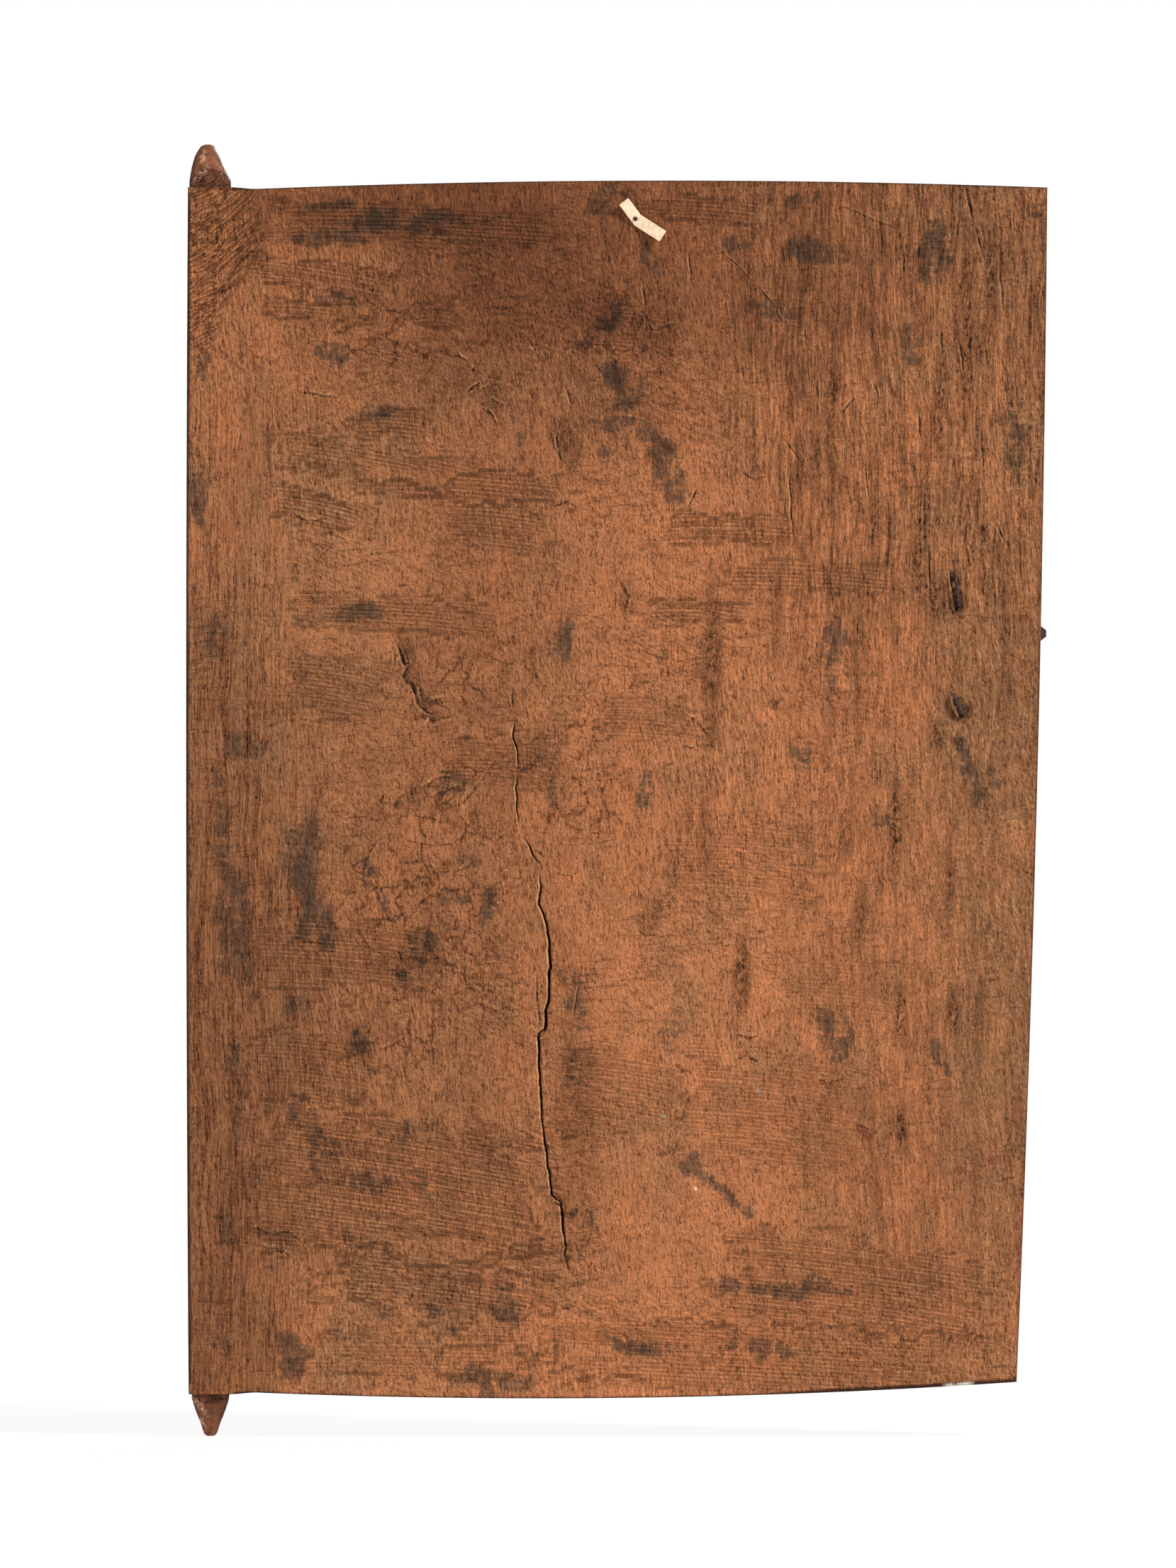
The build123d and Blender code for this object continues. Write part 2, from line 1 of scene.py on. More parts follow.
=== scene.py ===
"""Looks of the dogon granary door: a hewn plank on carved pivots, its carved front and its lock.

Everything is in the door's own frame: +Z up the hinge axis, +X from the hinge stile to the free
edge, the plain back facing -Y. Sizes are written in millimetres and turned to metres once, in lay().
"""
import math

import bmesh
import bpy
import numpy as np
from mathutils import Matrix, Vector


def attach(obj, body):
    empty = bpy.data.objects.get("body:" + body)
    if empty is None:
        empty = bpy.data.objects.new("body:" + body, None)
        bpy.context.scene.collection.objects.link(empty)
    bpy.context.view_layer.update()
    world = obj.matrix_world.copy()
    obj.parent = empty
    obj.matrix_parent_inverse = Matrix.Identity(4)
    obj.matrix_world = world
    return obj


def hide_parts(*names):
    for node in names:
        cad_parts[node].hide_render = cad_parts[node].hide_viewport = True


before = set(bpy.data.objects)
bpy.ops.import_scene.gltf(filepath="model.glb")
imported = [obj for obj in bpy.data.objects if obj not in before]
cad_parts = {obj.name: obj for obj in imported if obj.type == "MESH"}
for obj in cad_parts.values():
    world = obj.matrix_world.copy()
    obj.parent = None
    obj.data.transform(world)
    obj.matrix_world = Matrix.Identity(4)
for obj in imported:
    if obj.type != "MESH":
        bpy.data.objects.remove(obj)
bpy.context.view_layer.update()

MM = 0.001

# ---------------------------------------------------------------- the door's sizes, as its part has them
THICK = 25.0
BACK_Y = -THICK / 2
FRONT_Y = THICK / 2
SHOULDER = 681.2
REACH = 473.4
LEFT_FOOT = 12.0           # how far the hinge edge stands left of the axis
LEFT_TOP = 12.4
LEFT_BOW = 1.2             # and how much further half-way up
DRAW_IN_MID = 5.8
DRAW_IN_FOOT = 17.4
EDGE_LEAN = 1.0            # the cut edges lean in by this at the back
LEAN_FADE = 60.0           # a face's net follows the lean this far from an edge
SHOULDER_FLAT = 26.0       # both shoulders are square this far from the axis
TOP_CROWN_AT, TOP_SLOPE, TOP_BOW = 297.0, 0.016974, 0.0000861
FOOT_BOW_AT, FOOT_SLOPE, FOOT_BOW = 185.0, 0.02075, 0.000128
BOLT_Z = 429.6
LOCK_X = 423.08
CASE_BELOW = 62.0          # the lock case reaches this far below the bolt
SEAM_Y = 6.0               # the back's skin and the front's skin meet here, inside the plank

# The long crack from its lower end to its upper end, as (x, z), then its run past both ends
CRACK = [
    (205, -4), (204.5, 30), (203.6, 58), (200.8, 78), (198, 109.2), (192.8, 112), (187.6, 156.4),
    (185.6, 183.2), (185.7, 203.4), (188.5, 205), (190.4, 221), (191.6, 236), (192.6, 241),
    (191.3, 252), (189, 268), (186.2, 276), (186, 299), (182.5, 304), (181, 309), (177.5, 313),
    (175.8, 319), (173.2, 329), (173.2, 342), (173.8, 347), (173.8, 361), (171.3, 370), (171.2, 388),
    (168.8, 414.4), (168, 470), (170, 686),
]
CRACK_FOOT, CRACK_TOP = 58.0, 414.4


# ---------------------------------------------------------------- shapes in numbers
def smooth(low, high, value):
    """0 below low, 1 above high, with a soft step between them."""
    share = np.clip((value - low) / (high - low), 0, 1)
    return share * share * (3 - 2 * share)


TABLE = 64                 # random numbers repeat after this many


def cloud(x, z, size_x, size_z, seed):
    """Soft random hills, about -1 to 1, of the given size in millimetres."""
    table = np.random.default_rng(seed).uniform(-1, 1, (TABLE, TABLE))
    p, q = x / size_x + seed * 0.37, z / size_z + seed * 0.73
    i, j = np.floor(p).astype(int), np.floor(q).astype(int)
    f, g = p - i, q - j
    f, g = f * f * (3 - 2 * f), g * g * (3 - 2 * g)
    i, j, right, above = i % TABLE, j % TABLE, (i + 1) % TABLE, (j + 1) % TABLE
    a = table[i, j] * (1 - f) + table[right, j] * f
    b = table[i, above] * (1 - f) + table[right, above] * f
    return a * (1 - g) + b * g


def wave(along, size, seed):
    """Soft random waves, about -1 to 1, along one line."""
    return cloud(along, 0 * along, size, 1, seed)


def scoops(x, z, width, length, turn, seed):
    """Adze cuts: shallow hollows side by side, 0 in the middle of each and 1 where they meet."""
    c, s = math.cos(math.radians(turn)), math.sin(math.radians(turn))
    p, q = (x * c + z * s) / width, (z * c - x * s) / length
    rng = np.random.default_rng(seed)
    jitter = rng.uniform(0.15, 0.85, (TABLE, TABLE, 2))
    i, j = np.floor(p).astype(int), np.floor(q).astype(int)
    nearest = second = np.full(x.shape, 9.0)
    for di in (-1, 0, 1):
        for dj in (-1, 0, 1):
            spot = jitter[(i + di) % TABLE, (j + dj) % TABLE]
            away = (p - i - di - spot[..., 0]) ** 2 + (q - j - dj - spot[..., 1]) ** 2
            second = np.where(away < nearest, nearest, np.minimum(second, away))
            nearest = np.minimum(nearest, away)
    return np.clip(1 - (np.sqrt(second) - np.sqrt(nearest)) / 0.7, 0, 1)


def blob(x, z, at_x, at_z, half_width, half_height, strength=1.0, turn=0.0):
    """A soft oval: its strength in the middle, half of it at its half sizes, 0 at 1.5 times them."""
    c, s = math.cos(math.radians(turn)), math.sin(math.radians(turn))
    p = ((x - at_x) * c + (z - at_z) * s) / half_width
    q = ((z - at_z) * c - (x - at_x) * s) / half_height
    return strength * smooth(1.5, 0.45, np.sqrt(p * p + q * q))


def most_of(blobs, x, z):
    """The strongest of some soft ovals at a point."""
    return np.max([blob(x, z, *row) for row in blobs], axis=0)


def sum_of(blobs, x, z):
    """All of some soft ovals at a point, added up."""
    return np.sum([blob(x, z, *row) for row in blobs], axis=0)


def left_edge(z):
    share = z / SHOULDER
    return -(LEFT_FOOT + (LEFT_TOP - LEFT_FOOT) * share + 4 * LEFT_BOW * share * (1 - share))


def right_edge(z):
    down = 1 - z / SHOULDER
    return REACH - DRAW_IN_FOOT * down + 4 * down * (1 - down) * (DRAW_IN_FOOT / 2 - DRAW_IN_MID)


def rise_of(x, slope, bow, bow_at):
    """How far a bowed edge lies above its shoulder."""
    past = np.maximum(x - SHOULDER_FLAT, 0)
    return slope * past - bow * past * np.maximum(x - bow_at, SHOULDER_FLAT - bow_at)


def top_edge(x):
    return SHOULDER + rise_of(x, TOP_SLOPE, TOP_BOW, TOP_CROWN_AT)


def foot_edge(x):
    return rise_of(x, -FOOT_SLOPE, -FOOT_BOW, FOOT_BOW_AT)


def crack_line(z):
    line = np.array(CRACK)
    return np.interp(z, line[:, 1], line[:, 0]) + 0.7 * wave(z, 4.6, 97) + 0.4 * wave(z, 2.6, 98)


# ---------------------------------------------------------------- shader maths
BEND_REACH = 22.0          # how far grain is bent sideways, where a bend of 1 is asked for


class Wire:
    """A node's output; sums and products of wires add the Math nodes that work them out."""

    def __init__(self, finish, socket):
        self.finish, self.socket = finish, socket

    def maths(self, operation, *others):
        values = dict(enumerate((self, *others)))
        return self.finish.node("ShaderNodeMath", {"operation": operation}, values)

    def __add__(self, other):
        return self.maths("ADD", other)

    def __mul__(self, other):
        return self.maths("MULTIPLY", other)

    def __sub__(self, other):
        return self.maths("SUBTRACT", other)

    def __rsub__(self, other):
        return (self * -1) + other

    __radd__ = __add__

    def most(self, other):
        return self.maths("MAXIMUM", other)

    def least(self, other):
        return self.maths("MINIMUM", other)

    def size(self):
        return self.maths("ABSOLUTE")

    def step(self, low, high):
        """0 at low, 1 at high, soft between; low may be the larger."""
        settings = {"interpolation_type": "SMOOTHSTEP"}
        return self.finish.node("ShaderNodeMapRange", settings, {0: self, 1: low, 2: high})

    def swing(self, reach):
        """Noise as a swing about 0, to half its reach each way."""
        return (self - 0.5) * reach

    def near(self, value, far, close):
        """1 where this lies within close of a value, 0 where it is further off than far."""
        return (self - value).size().step(far, close)


class Finish:
    """One material, built up from nodes."""

    def __init__(self, name):
        self.material = bpy.data.materials.new(name)
        self.material.use_nodes = True
        self.tree = self.material.node_tree
        self.tree.nodes.clear()
        self.place = self.times(self.node("ShaderNodeTexCoord", {}, {}, "Object"), 1 / MM)
        self.bent = {}

    def node(self, kind, settings, values, output=0):
        made = self.tree.nodes.new(kind)
        for key, value in settings.items():
            setattr(made, key, value)
        for key, value in values.items():
            if isinstance(value, Wire):
                self.tree.links.new(value.socket, made.inputs[key])
            else:
                made.inputs[key].default_value = value
        return Wire(self, made.outputs[output])

    def stored(self, names):
        """The wires of the numbers stored on the vertices under some names."""
        kind = "ShaderNodeAttribute"
        return [self.node(kind, {"attribute_name": name}, {}, "Fac") for name in names.split()]

    def vector(self, operation, *values, output=0):
        settings = {"operation": operation}
        return self.node("ShaderNodeVectorMath", settings, dict(enumerate(values)), output)

    def times(self, vector, factor):
        """A place or a colour, times a factor."""
        return self.node("ShaderNodeVectorMath", {"operation": "SCALE"}, {0: vector, 3: factor})

    def hills(self, places, detail=3.0, rough=0.5, output=0):
        """Noise at some places, 0 to 1; output 1 gives three such numbers."""
        values = {"Vector": places, "Scale": 1.0, "Detail": detail, "Roughness": rough}
        return self.node("ShaderNodeTexNoise", {}, values, output)

    def wavy(self, bend):
        """Places bent sideways, as grain is, by up to a few millimetres."""
        if bend not in self.bent:
            slow = {"Vector": self.place, "Scale": (0.02, 0.02, 0.009)}
            still = self.node("ShaderNodeMapping", {}, slow)
            away = self.vector("SUBTRACT", self.hills(still, output=1), (0.5, 0.5, 0.5))
            self.bent[bend] = self.vector("ADD", self.place, self.times(away, BEND_REACH * bend))
        return self.bent[bend]

    def turned(self, scale, turn=0.0, shift=0.0, bend=0.0):
        """Places turned about Y, with their own scale on each axis, per millimetre."""
        place = {"Vector": self.wavy(bend) if bend else self.place, "Angle": math.radians(turn)}
        turned = self.node("ShaderNodeVectorRotate", {"rotation_type": "Y_AXIS"}, place)
        place = {"Vector": turned, "Location": (shift, shift, shift), "Scale": scale}
        return self.node("ShaderNodeMapping", {}, place)

    def noise(self, scale, detail=3.0, rough=0.55, shift=0.0, turn=0.0, bend=0.0):
        """Noise 0 to 1 at such places."""
        return self.hills(self.turned(scale, turn, shift, bend), detail, rough)

    def blend(self, share, first, second):
        """A number between two."""
        return self.node("ShaderNodeMix", {"data_type": "FLOAT"}, {0: share, 2: first, 3: second})

    def mix(self, share, first, second):
        """A colour between two."""
        return self.node("ShaderNodeMix", {"data_type": "RGBA"}, {0: share, 6: first, 7: second}, 2)

    def covered(self, colour, layers):
        """A colour under some layers, each a share and a colour of its own."""
        for share, layer in layers:
            colour = self.mix(share, colour, layer)
        return colour

    def surface(self, colour, roughness, height, specular, metal=0.0):
        bump = self.node("ShaderNodeBump", {}, {"Strength": 1.0, "Distance": MM, "Height": height})
        return self.worn_by(self.node("ShaderNodeBsdfPrincipled", {}, {
            "Base Color": colour, "Roughness": roughness, "Metallic": metal,
            "Specular IOR Level": specular, "Normal": bump}))

    def worn_by(self, skin):
        """The finished material, with this shader as its surface."""
        out = self.tree.nodes.new("ShaderNodeOutputMaterial")
        self.tree.links.new(skin.socket, out.inputs["Surface"])
        return self.material


def paint(red, green, blue):
    """A colour as the eye names it, 0 to 255, for a socket."""
    shares = np.array([red, green, blue]) / 255
    return (*np.where(shares <= 0.04045, shares / 12.92, ((shares + 0.055) / 1.055) ** 2.4), 1.0)


# ---------------------------------------------------------------- meshes
def lay(name, made, finish, body):
    """Makes a piece of a bmesh in millimetres, gives it its finish and lets it ride on a body."""
    bmesh.ops.scale(made, vec=(MM, MM, MM), verts=made.verts)
    mesh = bpy.data.meshes.new(name)
    made.to_mesh(mesh)
    made.free()
    for polygon in mesh.polygons:
        polygon.use_smooth = True
    piece = bpy.data.objects.new(name, mesh)
    bpy.context.scene.collection.objects.link(piece)
    mesh.materials.append(finish)
    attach(piece, body)
    return piece


def write(piece, **layers):
    """Stores numbers on a piece's vertices for its finish to read."""
    for name, values in layers.items():
        layer = piece.data.attributes.new(name, "FLOAT", "POINT")
        layer.data.foreach_set("value", np.asarray(values, dtype=np.float32).ravel())


def sheet_of(made, across, along, points):
    """Adds a grid whose vertex (i, j) is points[j][i]."""
    grid = bmesh.ops.create_grid(made, x_segments=across, y_segments=along, size=1.0)["verts"]
    for vertex in grid:
        i = round((vertex.co.x + 1) / 2 * across)
        j = round((vertex.co.y + 1) / 2 * along)
        vertex.co = points[j, i]


def close_up(made, near):
    """Welds a skin's seams, caps its open rim and turns its faces outwards."""
    bmesh.ops.remove_doubles(made, verts=made.verts, dist=near)
    bmesh.ops.edgeloop_fill(made, edges=[edge for edge in made.edges if edge.is_boundary])
    bmesh.ops.recalc_face_normals(made, faces=made.faces)


CELL = 2.5                 # the net's mesh away from edges and the crack
# Steps of the net away from an edge and away from the crack, and the widths that it fills evenly
EDGE_STEPS = np.array([0.0, 0.2, 0.6, 1.2, 2.2, 3.8])
CRACK_STEPS = np.array([0.45, 1.0, 1.8, 3.0, 4.5])
LEFT_OF_CRACK, RIGHT_OF_CRACK, FACE_WIDTH = 185, 280, 475


def evenly(start, end, width):
    """Columns spaced evenly between two others, as many as a stretch of this width needs."""
    return start + (end - start) * np.linspace(0, 1, round(width / CELL))[None, 1:-1]


def face_net(follow_crack):
    """The net of a face: every vertex's (x, z), closer together at the edges and the crack."""
    rows = round(SHOULDER / CELL)
    inner = np.linspace(EDGE_STEPS[-1], SHOULDER - EDGE_STEPS[-1], rows)[1:-1]
    heights = np.concatenate([EDGE_STEPS, inner, SHOULDER - EDGE_STEPS[::-1]])
    left, right = left_edge(heights)[:, None], right_edge(heights)[:, None]
    start, end = left + EDGE_STEPS[-1], right - EDGE_STEPS[-1]
    if follow_crack:
        crack = crack_line(heights)[:, None]
        reach = CRACK_STEPS[-1]
        middle = [
            evenly(start, crack - reach, LEFT_OF_CRACK), crack - CRACK_STEPS[None, ::-1], crack,
            crack + CRACK_STEPS[None, :], evenly(crack + reach, end, RIGHT_OF_CRACK)]
    else:
        middle = [evenly(start, end, FACE_WIDTH)]
    x = np.concatenate(
        [left + EDGE_STEPS[None, :], *middle, right - EDGE_STEPS[None, ::-1]], axis=1)
    foot, top = foot_edge(x), top_edge(x)
    from_foot = heights[:, None] - 0 * x
    half = SHOULDER / 2
    z = np.where(
        from_foot < half, foot + from_foot * (half - foot) / half,
        top - (SHOULDER - from_foot) * (top - half) / half)
    return x, z


def edge_gap(x, z):
    """Distance to the nearest edge of the plank."""
    return np.minimum(
        np.minimum(x - left_edge(z), right_edge(z) - x), np.minimum(z - foot_edge(x), top_edge(x) - z))


def beside_pivot(x, z):
    """1 where the plank's edge runs on into a pivot."""
    return smooth(12.5, 10.5, np.abs(x)) * smooth(5.0, 3.0, np.minimum(z, SHOULDER - z))


def worn_radius(x, z):
    """How round the plank's arris is worn near a point, millimetres."""
    worn = 1.5 + 0.7 * cloud(x, z, 23, 23, 5) + 0.4 * cloud(x, z, 6, 6, 6)
    return np.clip(worn, 0.5, 2.4) * (1 - 0.9 * beside_pivot(x, z))


def leaned(x, y, z):
    """A point of the plank drawn in for the lean of its cut edges."""
    lean = EDGE_LEAN * (FRONT_Y - y) / THICK * smooth(LEFT_FOOT, SHOULDER_FLAT, x)
    from_right = smooth(LEAN_FADE, 0.0, right_edge(z) - x)
    from_foot = smooth(LEAN_FADE, 0.0, z - foot_edge(x))
    from_top = smooth(LEAN_FADE, 0.0, top_edge(x) - z)
    return np.stack([x - from_right * lean, y + 0 * x, z + (from_foot - from_top) * lean], axis=-1)


def cut_edge(made, x, y, z, inward, rings):
    """A cut edge of the plank: rings from the worn arris to the seam, with hewing marks."""
    share = np.linspace(0, 1, rings + 1)[:, None]
    depth = y[None, :] * (1 - share) + SEAM_Y * share
    run = np.abs(x - x[0]) + np.abs(z - z[0])
    clear = smooth(0, 6, run) * smooth(0, 6, run[-1] - run)
    marks = 0.4 + 0.4 * cloud(run[None, :] + 0 * depth, depth, 11, 6, 31)
    gone = marks * clear[None, :] * smooth(0, 2.5, np.abs(depth - y[None, :]))
    points = leaned(x[None, :] + inward[0] * gone, depth, z[None, :] + inward[1] * gone)
    sheet_of(made, len(x) - 1, rings, points)


def plank_skin(name, side, hollow, finish, follow_crack, rings):
    """Half of the plank: one worn face and its cut edges as far as the seam inside the plank."""
    x, z = face_net(follow_crack)
    gap = np.maximum(edge_gap(x, z), 0)
    radius = worn_radius(x, z)
    short = np.clip(1 - gap / radius, 0, 1)
    depth = hollow(x, z) * smooth(-0.2, 2.5, gap) + radius * (1 - np.sqrt(1 - short * short))
    y = side * (THICK / 2 - np.maximum(depth, 0))
    made = bmesh.new()
    sheet_of(made, x.shape[1] - 1, x.shape[0] - 1, leaned(x, y, z))
    for cut, inward in (
            (np.s_[:, 0], (1, 0)), (np.s_[:, -1], (-1, 0)), (np.s_[0], (0, 1)), (np.s_[-1], (0, -1))):
        cut_edge(made, x[cut], y[cut], z[cut], inward, rings)
    close_up(made, 0.02)
    return lay(name, made, finish, "door")


def spots_of(piece):
    """A piece's vertices as x, y, z in millimetres."""
    spots = np.empty(len(piece.data.vertices) * 3, dtype=np.float32)
    piece.data.vertices.foreach_get("co", spots)
    spots = spots.reshape(-1, 3).astype(float) / MM
    return spots[:, 0], spots[:, 1], spots[:, 2]


# ---------------------------------------------------------------- the back of the plank
# Grey-brown stains on the back: (x, z, half width, half height, strength, turn in degrees if it leans)
STAINS = [
    (66, 655, 22, 5, 0.9, 3), (108, 662, 32, 7, 0.9), (69, 671, 16, 3, 0.8), (150, 663, 26, 4, 0.5),
    (40, 640, 12, 4, 0.3), (65, 587, 12, 5, 0.9, 8), (94, 553, 14, 5, 0.9, 8),
    (69, 618, 15, 4, 0.7, -6), (-6, 510, 5, 18, 0.7), (-6, 580, 4, 9, 0.6), (219, 669, 7, 8, 0.9),
    (227, 677, 9, 4, 0.8), (226, 608, 9, 8, 0.9), (216, 596, 12, 5, 0.5), (229, 573, 9, 9, 0.9),
    (236, 565, 14, 5, 0.8, 30), (232, 548, 16, 4, 0.9, -12), (246, 541, 7, 7, 0.9),
    (256, 530, 11, 10, 1, -40), (262, 512, 8, 10, 0.7), (221, 532, 4, 8, 0.8), (297, 652, 5, 5, 0.6),
    (296, 606, 4, 6, 0.6), (318, 612, 14, 6, 0.7, -6), (330, 676, 16, 5, 0.6),
    (340, 645, 20, 4.6, 1, -6), (409, 646, 9, 18, 0.9, -4), (397, 591, 7, 12, 0.8),
    (248, 639, 14, 4.6, 0.7, -50), (459, 669, 8, 3, 0.7), (455, 538, 9, 22, 0.6),
    (448, 560, 4, 30, 0.4), (82, 440, 17, 5, 0.8), (55, 438, 7, 6, 0.7), (46, 470, 4, 16, 0.4),
    (2, 428, 8, 12, 0.7), (19, 366, 9, 8, 0.8), (19, 364, 3, 4, 1), (14, 270, 9, 34, 0.8, 3),
    (20, 250, 6, 24, 0.6, 3), (48, 305, 6, 16, 0.7), (55, 292, 9, 34, 1, -4), (52, 306, 5, 12, 1),
    (68, 262, 6, 14, 0.8), (50, 258, 9, 3, 0.7, 10), (138, 345, 15, 8, 0.8), (112, 336, 7, 6, 0.6),
    (187, 357, 10, 5, 0.5, 8), (194, 340, 4, 11, 0.6), (154, 274, 6, 12, 0.8),
    (148, 300, 9, 3, 0.6, -30), (88, 296, 4, 10, 0.7), (98, 275, 4, 9, 0.6, 20), (117, 254, 8, 9, 0.8),
    (137, 280, 7, 4, 0.5), (108, 237, 5, 2, 0.9), (110, 238, 20, 4, 0.4), (50, 220, 8, 8, 0.4),
    (88, 202, 5, 10, 0.5), (198, 427, 6, 13, 0.7), (243, 342, 4, 10, 0.8), (353, 428, 8, 14, 0.7),
    (349, 405, 4, 20, 0.5), (423, 364, 4, 8, 1), (430, 346, 22, 5.5, 1, -71), (442, 350, 3, 9, 0.8),
    (380, 326, 8, 7, 0.6), (335, 362, 4, 12, 0.7), (340, 332, 2, 6, 0.6), (349, 206, 6, 9, 0.9),
    (357, 198, 6, 13, 0.9), (409, 193, 6, 7, 0.9), (417, 186, 4, 7, 0.9), (203, 236, 9, 8, 0.5),
    (207, 217, 4, 13, 0.6), (206, 190, 8, 24, 0.4), (259, 205, 8, 15, 0.35), (274, 130, 7, 6, 0.9, -40),
    (287, 119, 23, 3.5, 1, -44), (320, 61, 32, 6, 1, -2), (358, 59, 18, 4, 0.6, -2),
    (314, 25, 26, 5, 0.8, -1), (241, 26, 22, 5, 0.8, -2), (178, 20, 20, 5, 0.3), (158, 5, 24, 8, 0.8),
    (168, 48, 9, 14, 0.7, 10), (213, 90, 8, 22, 0.5), (10, 91, 7, 18, 0.6), (47, 21, 9, 15, 0.8),
    (60, 141, 9, 18, 0.7, 12), (47, 160, 7, 10, 0.6), (32, 160, 3, 7, 0.7), (111, 149, 9, 7, 0.6),
    (120, 120, 6, 10, 0.5), (136, 34, 8, 6, 0.7), (128, 48, 5, 8, 0.6), (99, 44, 5, 9, 0.6),
    (6, 27, 6, 10, 0.5), (70, 95, 14, 6, 0.4, -8), (440, 250, 6, 20, 0.3), (420, 480, 6, 30, 0.3),
    (15, 180, 6, 30, 0.5), (5, 330, 5, 30, 0.5), (0, 470, 6, 20, 0.5), (175, 540, 5, 14, 0.4, 10),
    (370, 640, 10, 4, 0.4), (440, 470, 5, 30, 0.3), (84, 120, 20, 5, 0.5, -8),
]
# Red stains: (x, z, half width, half height)
RED_STAINS = [
    (350, 175, 7, 2.6), (345, 165, 4, 4), (370, 147, 4, 4.6), (336, 408, 5, 2), (327, 250, 3, 2),
    (341, 379, 2, 3), (353, 384, 1.6, 9), (45, 276, 3, 3), (456, 160, 4, 14), (458, 90, 3, 20),
    (445.5, 131, 14, 1.5), (424.5, 125, 7, 2.4), (416.5, 111, 1.6, 10),
]
# Knots, torn spots and gouges: (x, z, half width, half height, depth)
PITS = [
    (161, 561, 8, 11, 0.9), (202, 537, 9, 17, 1.1), (205, 571, 3, 4, 0.7), (234, 448, 5, 11, 1),
    (254, 415, 5, 5, 0.9), (239, 403, 4, 5, 0.9), (248, 268, 6, 11, 0.9), (308, 518, 10, 3, 0.9),
    (112, 410, 5, 14, 1.1), (106, 424, 4, 8, 0.9), (119, 388, 8, 8, 0.9), (124, 381, 10, 3, 0.8),
    (37, 88, 15, 5, 0.9), (53, 78, 8, 5, 0.7), (229, 573, 7, 8, 0.8), (239, 554, 10, 5, 0.8),
    (254, 530, 10, 8, 0.8), (222, 608, 8, 10, 0.7), (201, 497, 6, 3, 0.5), (138, 634, 12, 12, 0.4),
    (319, 387, 3, 4, 1.2), (282, 400, 6, 12, 0.9), (279, 424, 7, 9, 0.9), (283, 372, 5, 10, 0.8),
    (299, 256, 4, 8, 0.8), (286, 270, 6, 5, 0.8), (120, 340, 8, 10, 0.7), (130, 335, 4, 9, 0.8),
    (32, 160, 3, 5, 0.9), (244, 600, 4, 20, 0.5), (128, 374, 9, 5, 0.6), (350, 175, 6, 2.4, 0.8),
    (345, 165, 3.4, 3.4, 0.8), (370, 147, 3.4, 4, 0.8), (386, 335, 1.6, 4, 1.4),
    (387, 315, 1.6, 4, 1.4), (425.6, 386.7, 1.8, 2.6, 1.4), (301, 234, 4, 17, 0.5),
    (420.6, 389.5, 3.4, 7, 1.2), (421.6, 454, 3.2, 10, 1.2), (467, 563, 2.4, 4, 1.2),
]
# Torn lips: each a run of (x, z), drawn as a line of painted shadow with a painted highlight beside it
LIPS = [
    [(137, 383), (128, 381), (121, 384), (119.5, 390)], [(122, 387), (128, 390), (135, 387)],
    [(120, 392), (118, 400)], [(124, 391), (131, 393)], [(126, 379), (120, 381)],
    [(104, 421), (105, 413)], [(113, 399), (109, 406)], [(112, 412), (109, 423)],
    [(122, 343), (129, 348), (136, 349)], [(127, 338), (134, 341), (142, 343)],
    [(132, 334), (138, 337)], [(253, 260), (246, 258), (242, 262)],
    [(195, 501), (201, 504), (207, 501)], [(184, 307), (189, 303)], [(154, 556), (160, 552)],
    [(158, 562), (166, 558)], [(152, 566), (158, 569)], [(193, 543), (194, 536), (198, 529)],
    [(140, 586), (145, 583)], [(146, 580), (152, 577)], [(24, 94), (34, 91), (44, 92), (52, 86)],
    [(28, 84), (38, 82), (46, 78)], [(298, 203), (304, 201), (311, 203)],
    [(297, 189), (303, 191), (309, 188)], [(301, 520), (308, 516), (315, 518)],
    [(269, 383), (276, 379), (281, 372)], [(268, 366), (275, 364)],
    [(232, 458), (236, 450), (234, 441)], [(250, 418), (256, 415)], [(51, 566), (73, 562)],
    [(48, 497), (55, 492), (64, 494)], [(186, 584), (180, 596)], [(232, 552), (244, 549)],
    [(404, 457), (407, 452)], [(406, 450), (410, 444)], [(408, 443), (411, 438)],
    [(409, 377), (412, 372)], [(412, 370), (416, 365)], [(342, 178), (350, 176), (357, 178)],
    [(366, 152), (372, 149)],
]
# Where adze cuts meet in thin wavy outlines, then where the surface is calm, in the same way
PLATES = [
    (125, 285, 46, 76), (100, 300, 26, 52), (205, 350, 30, 42), (150, 404, 40, 26), (100, 200, 34, 22),
    (120, 595, 60, 30), (235, 600, 34, 30),
]
CALM = [
    (130, 350, 70, 96), (215, 330, 44, 100), (110, 440, 54, 34), (240, 230, 40, 60), (165, 520, 46, 30),
    (210, 470, 36, 50), (110, 590, 60, 30), (385, 200, 80, 150), (300, 110, 90, 70),
]
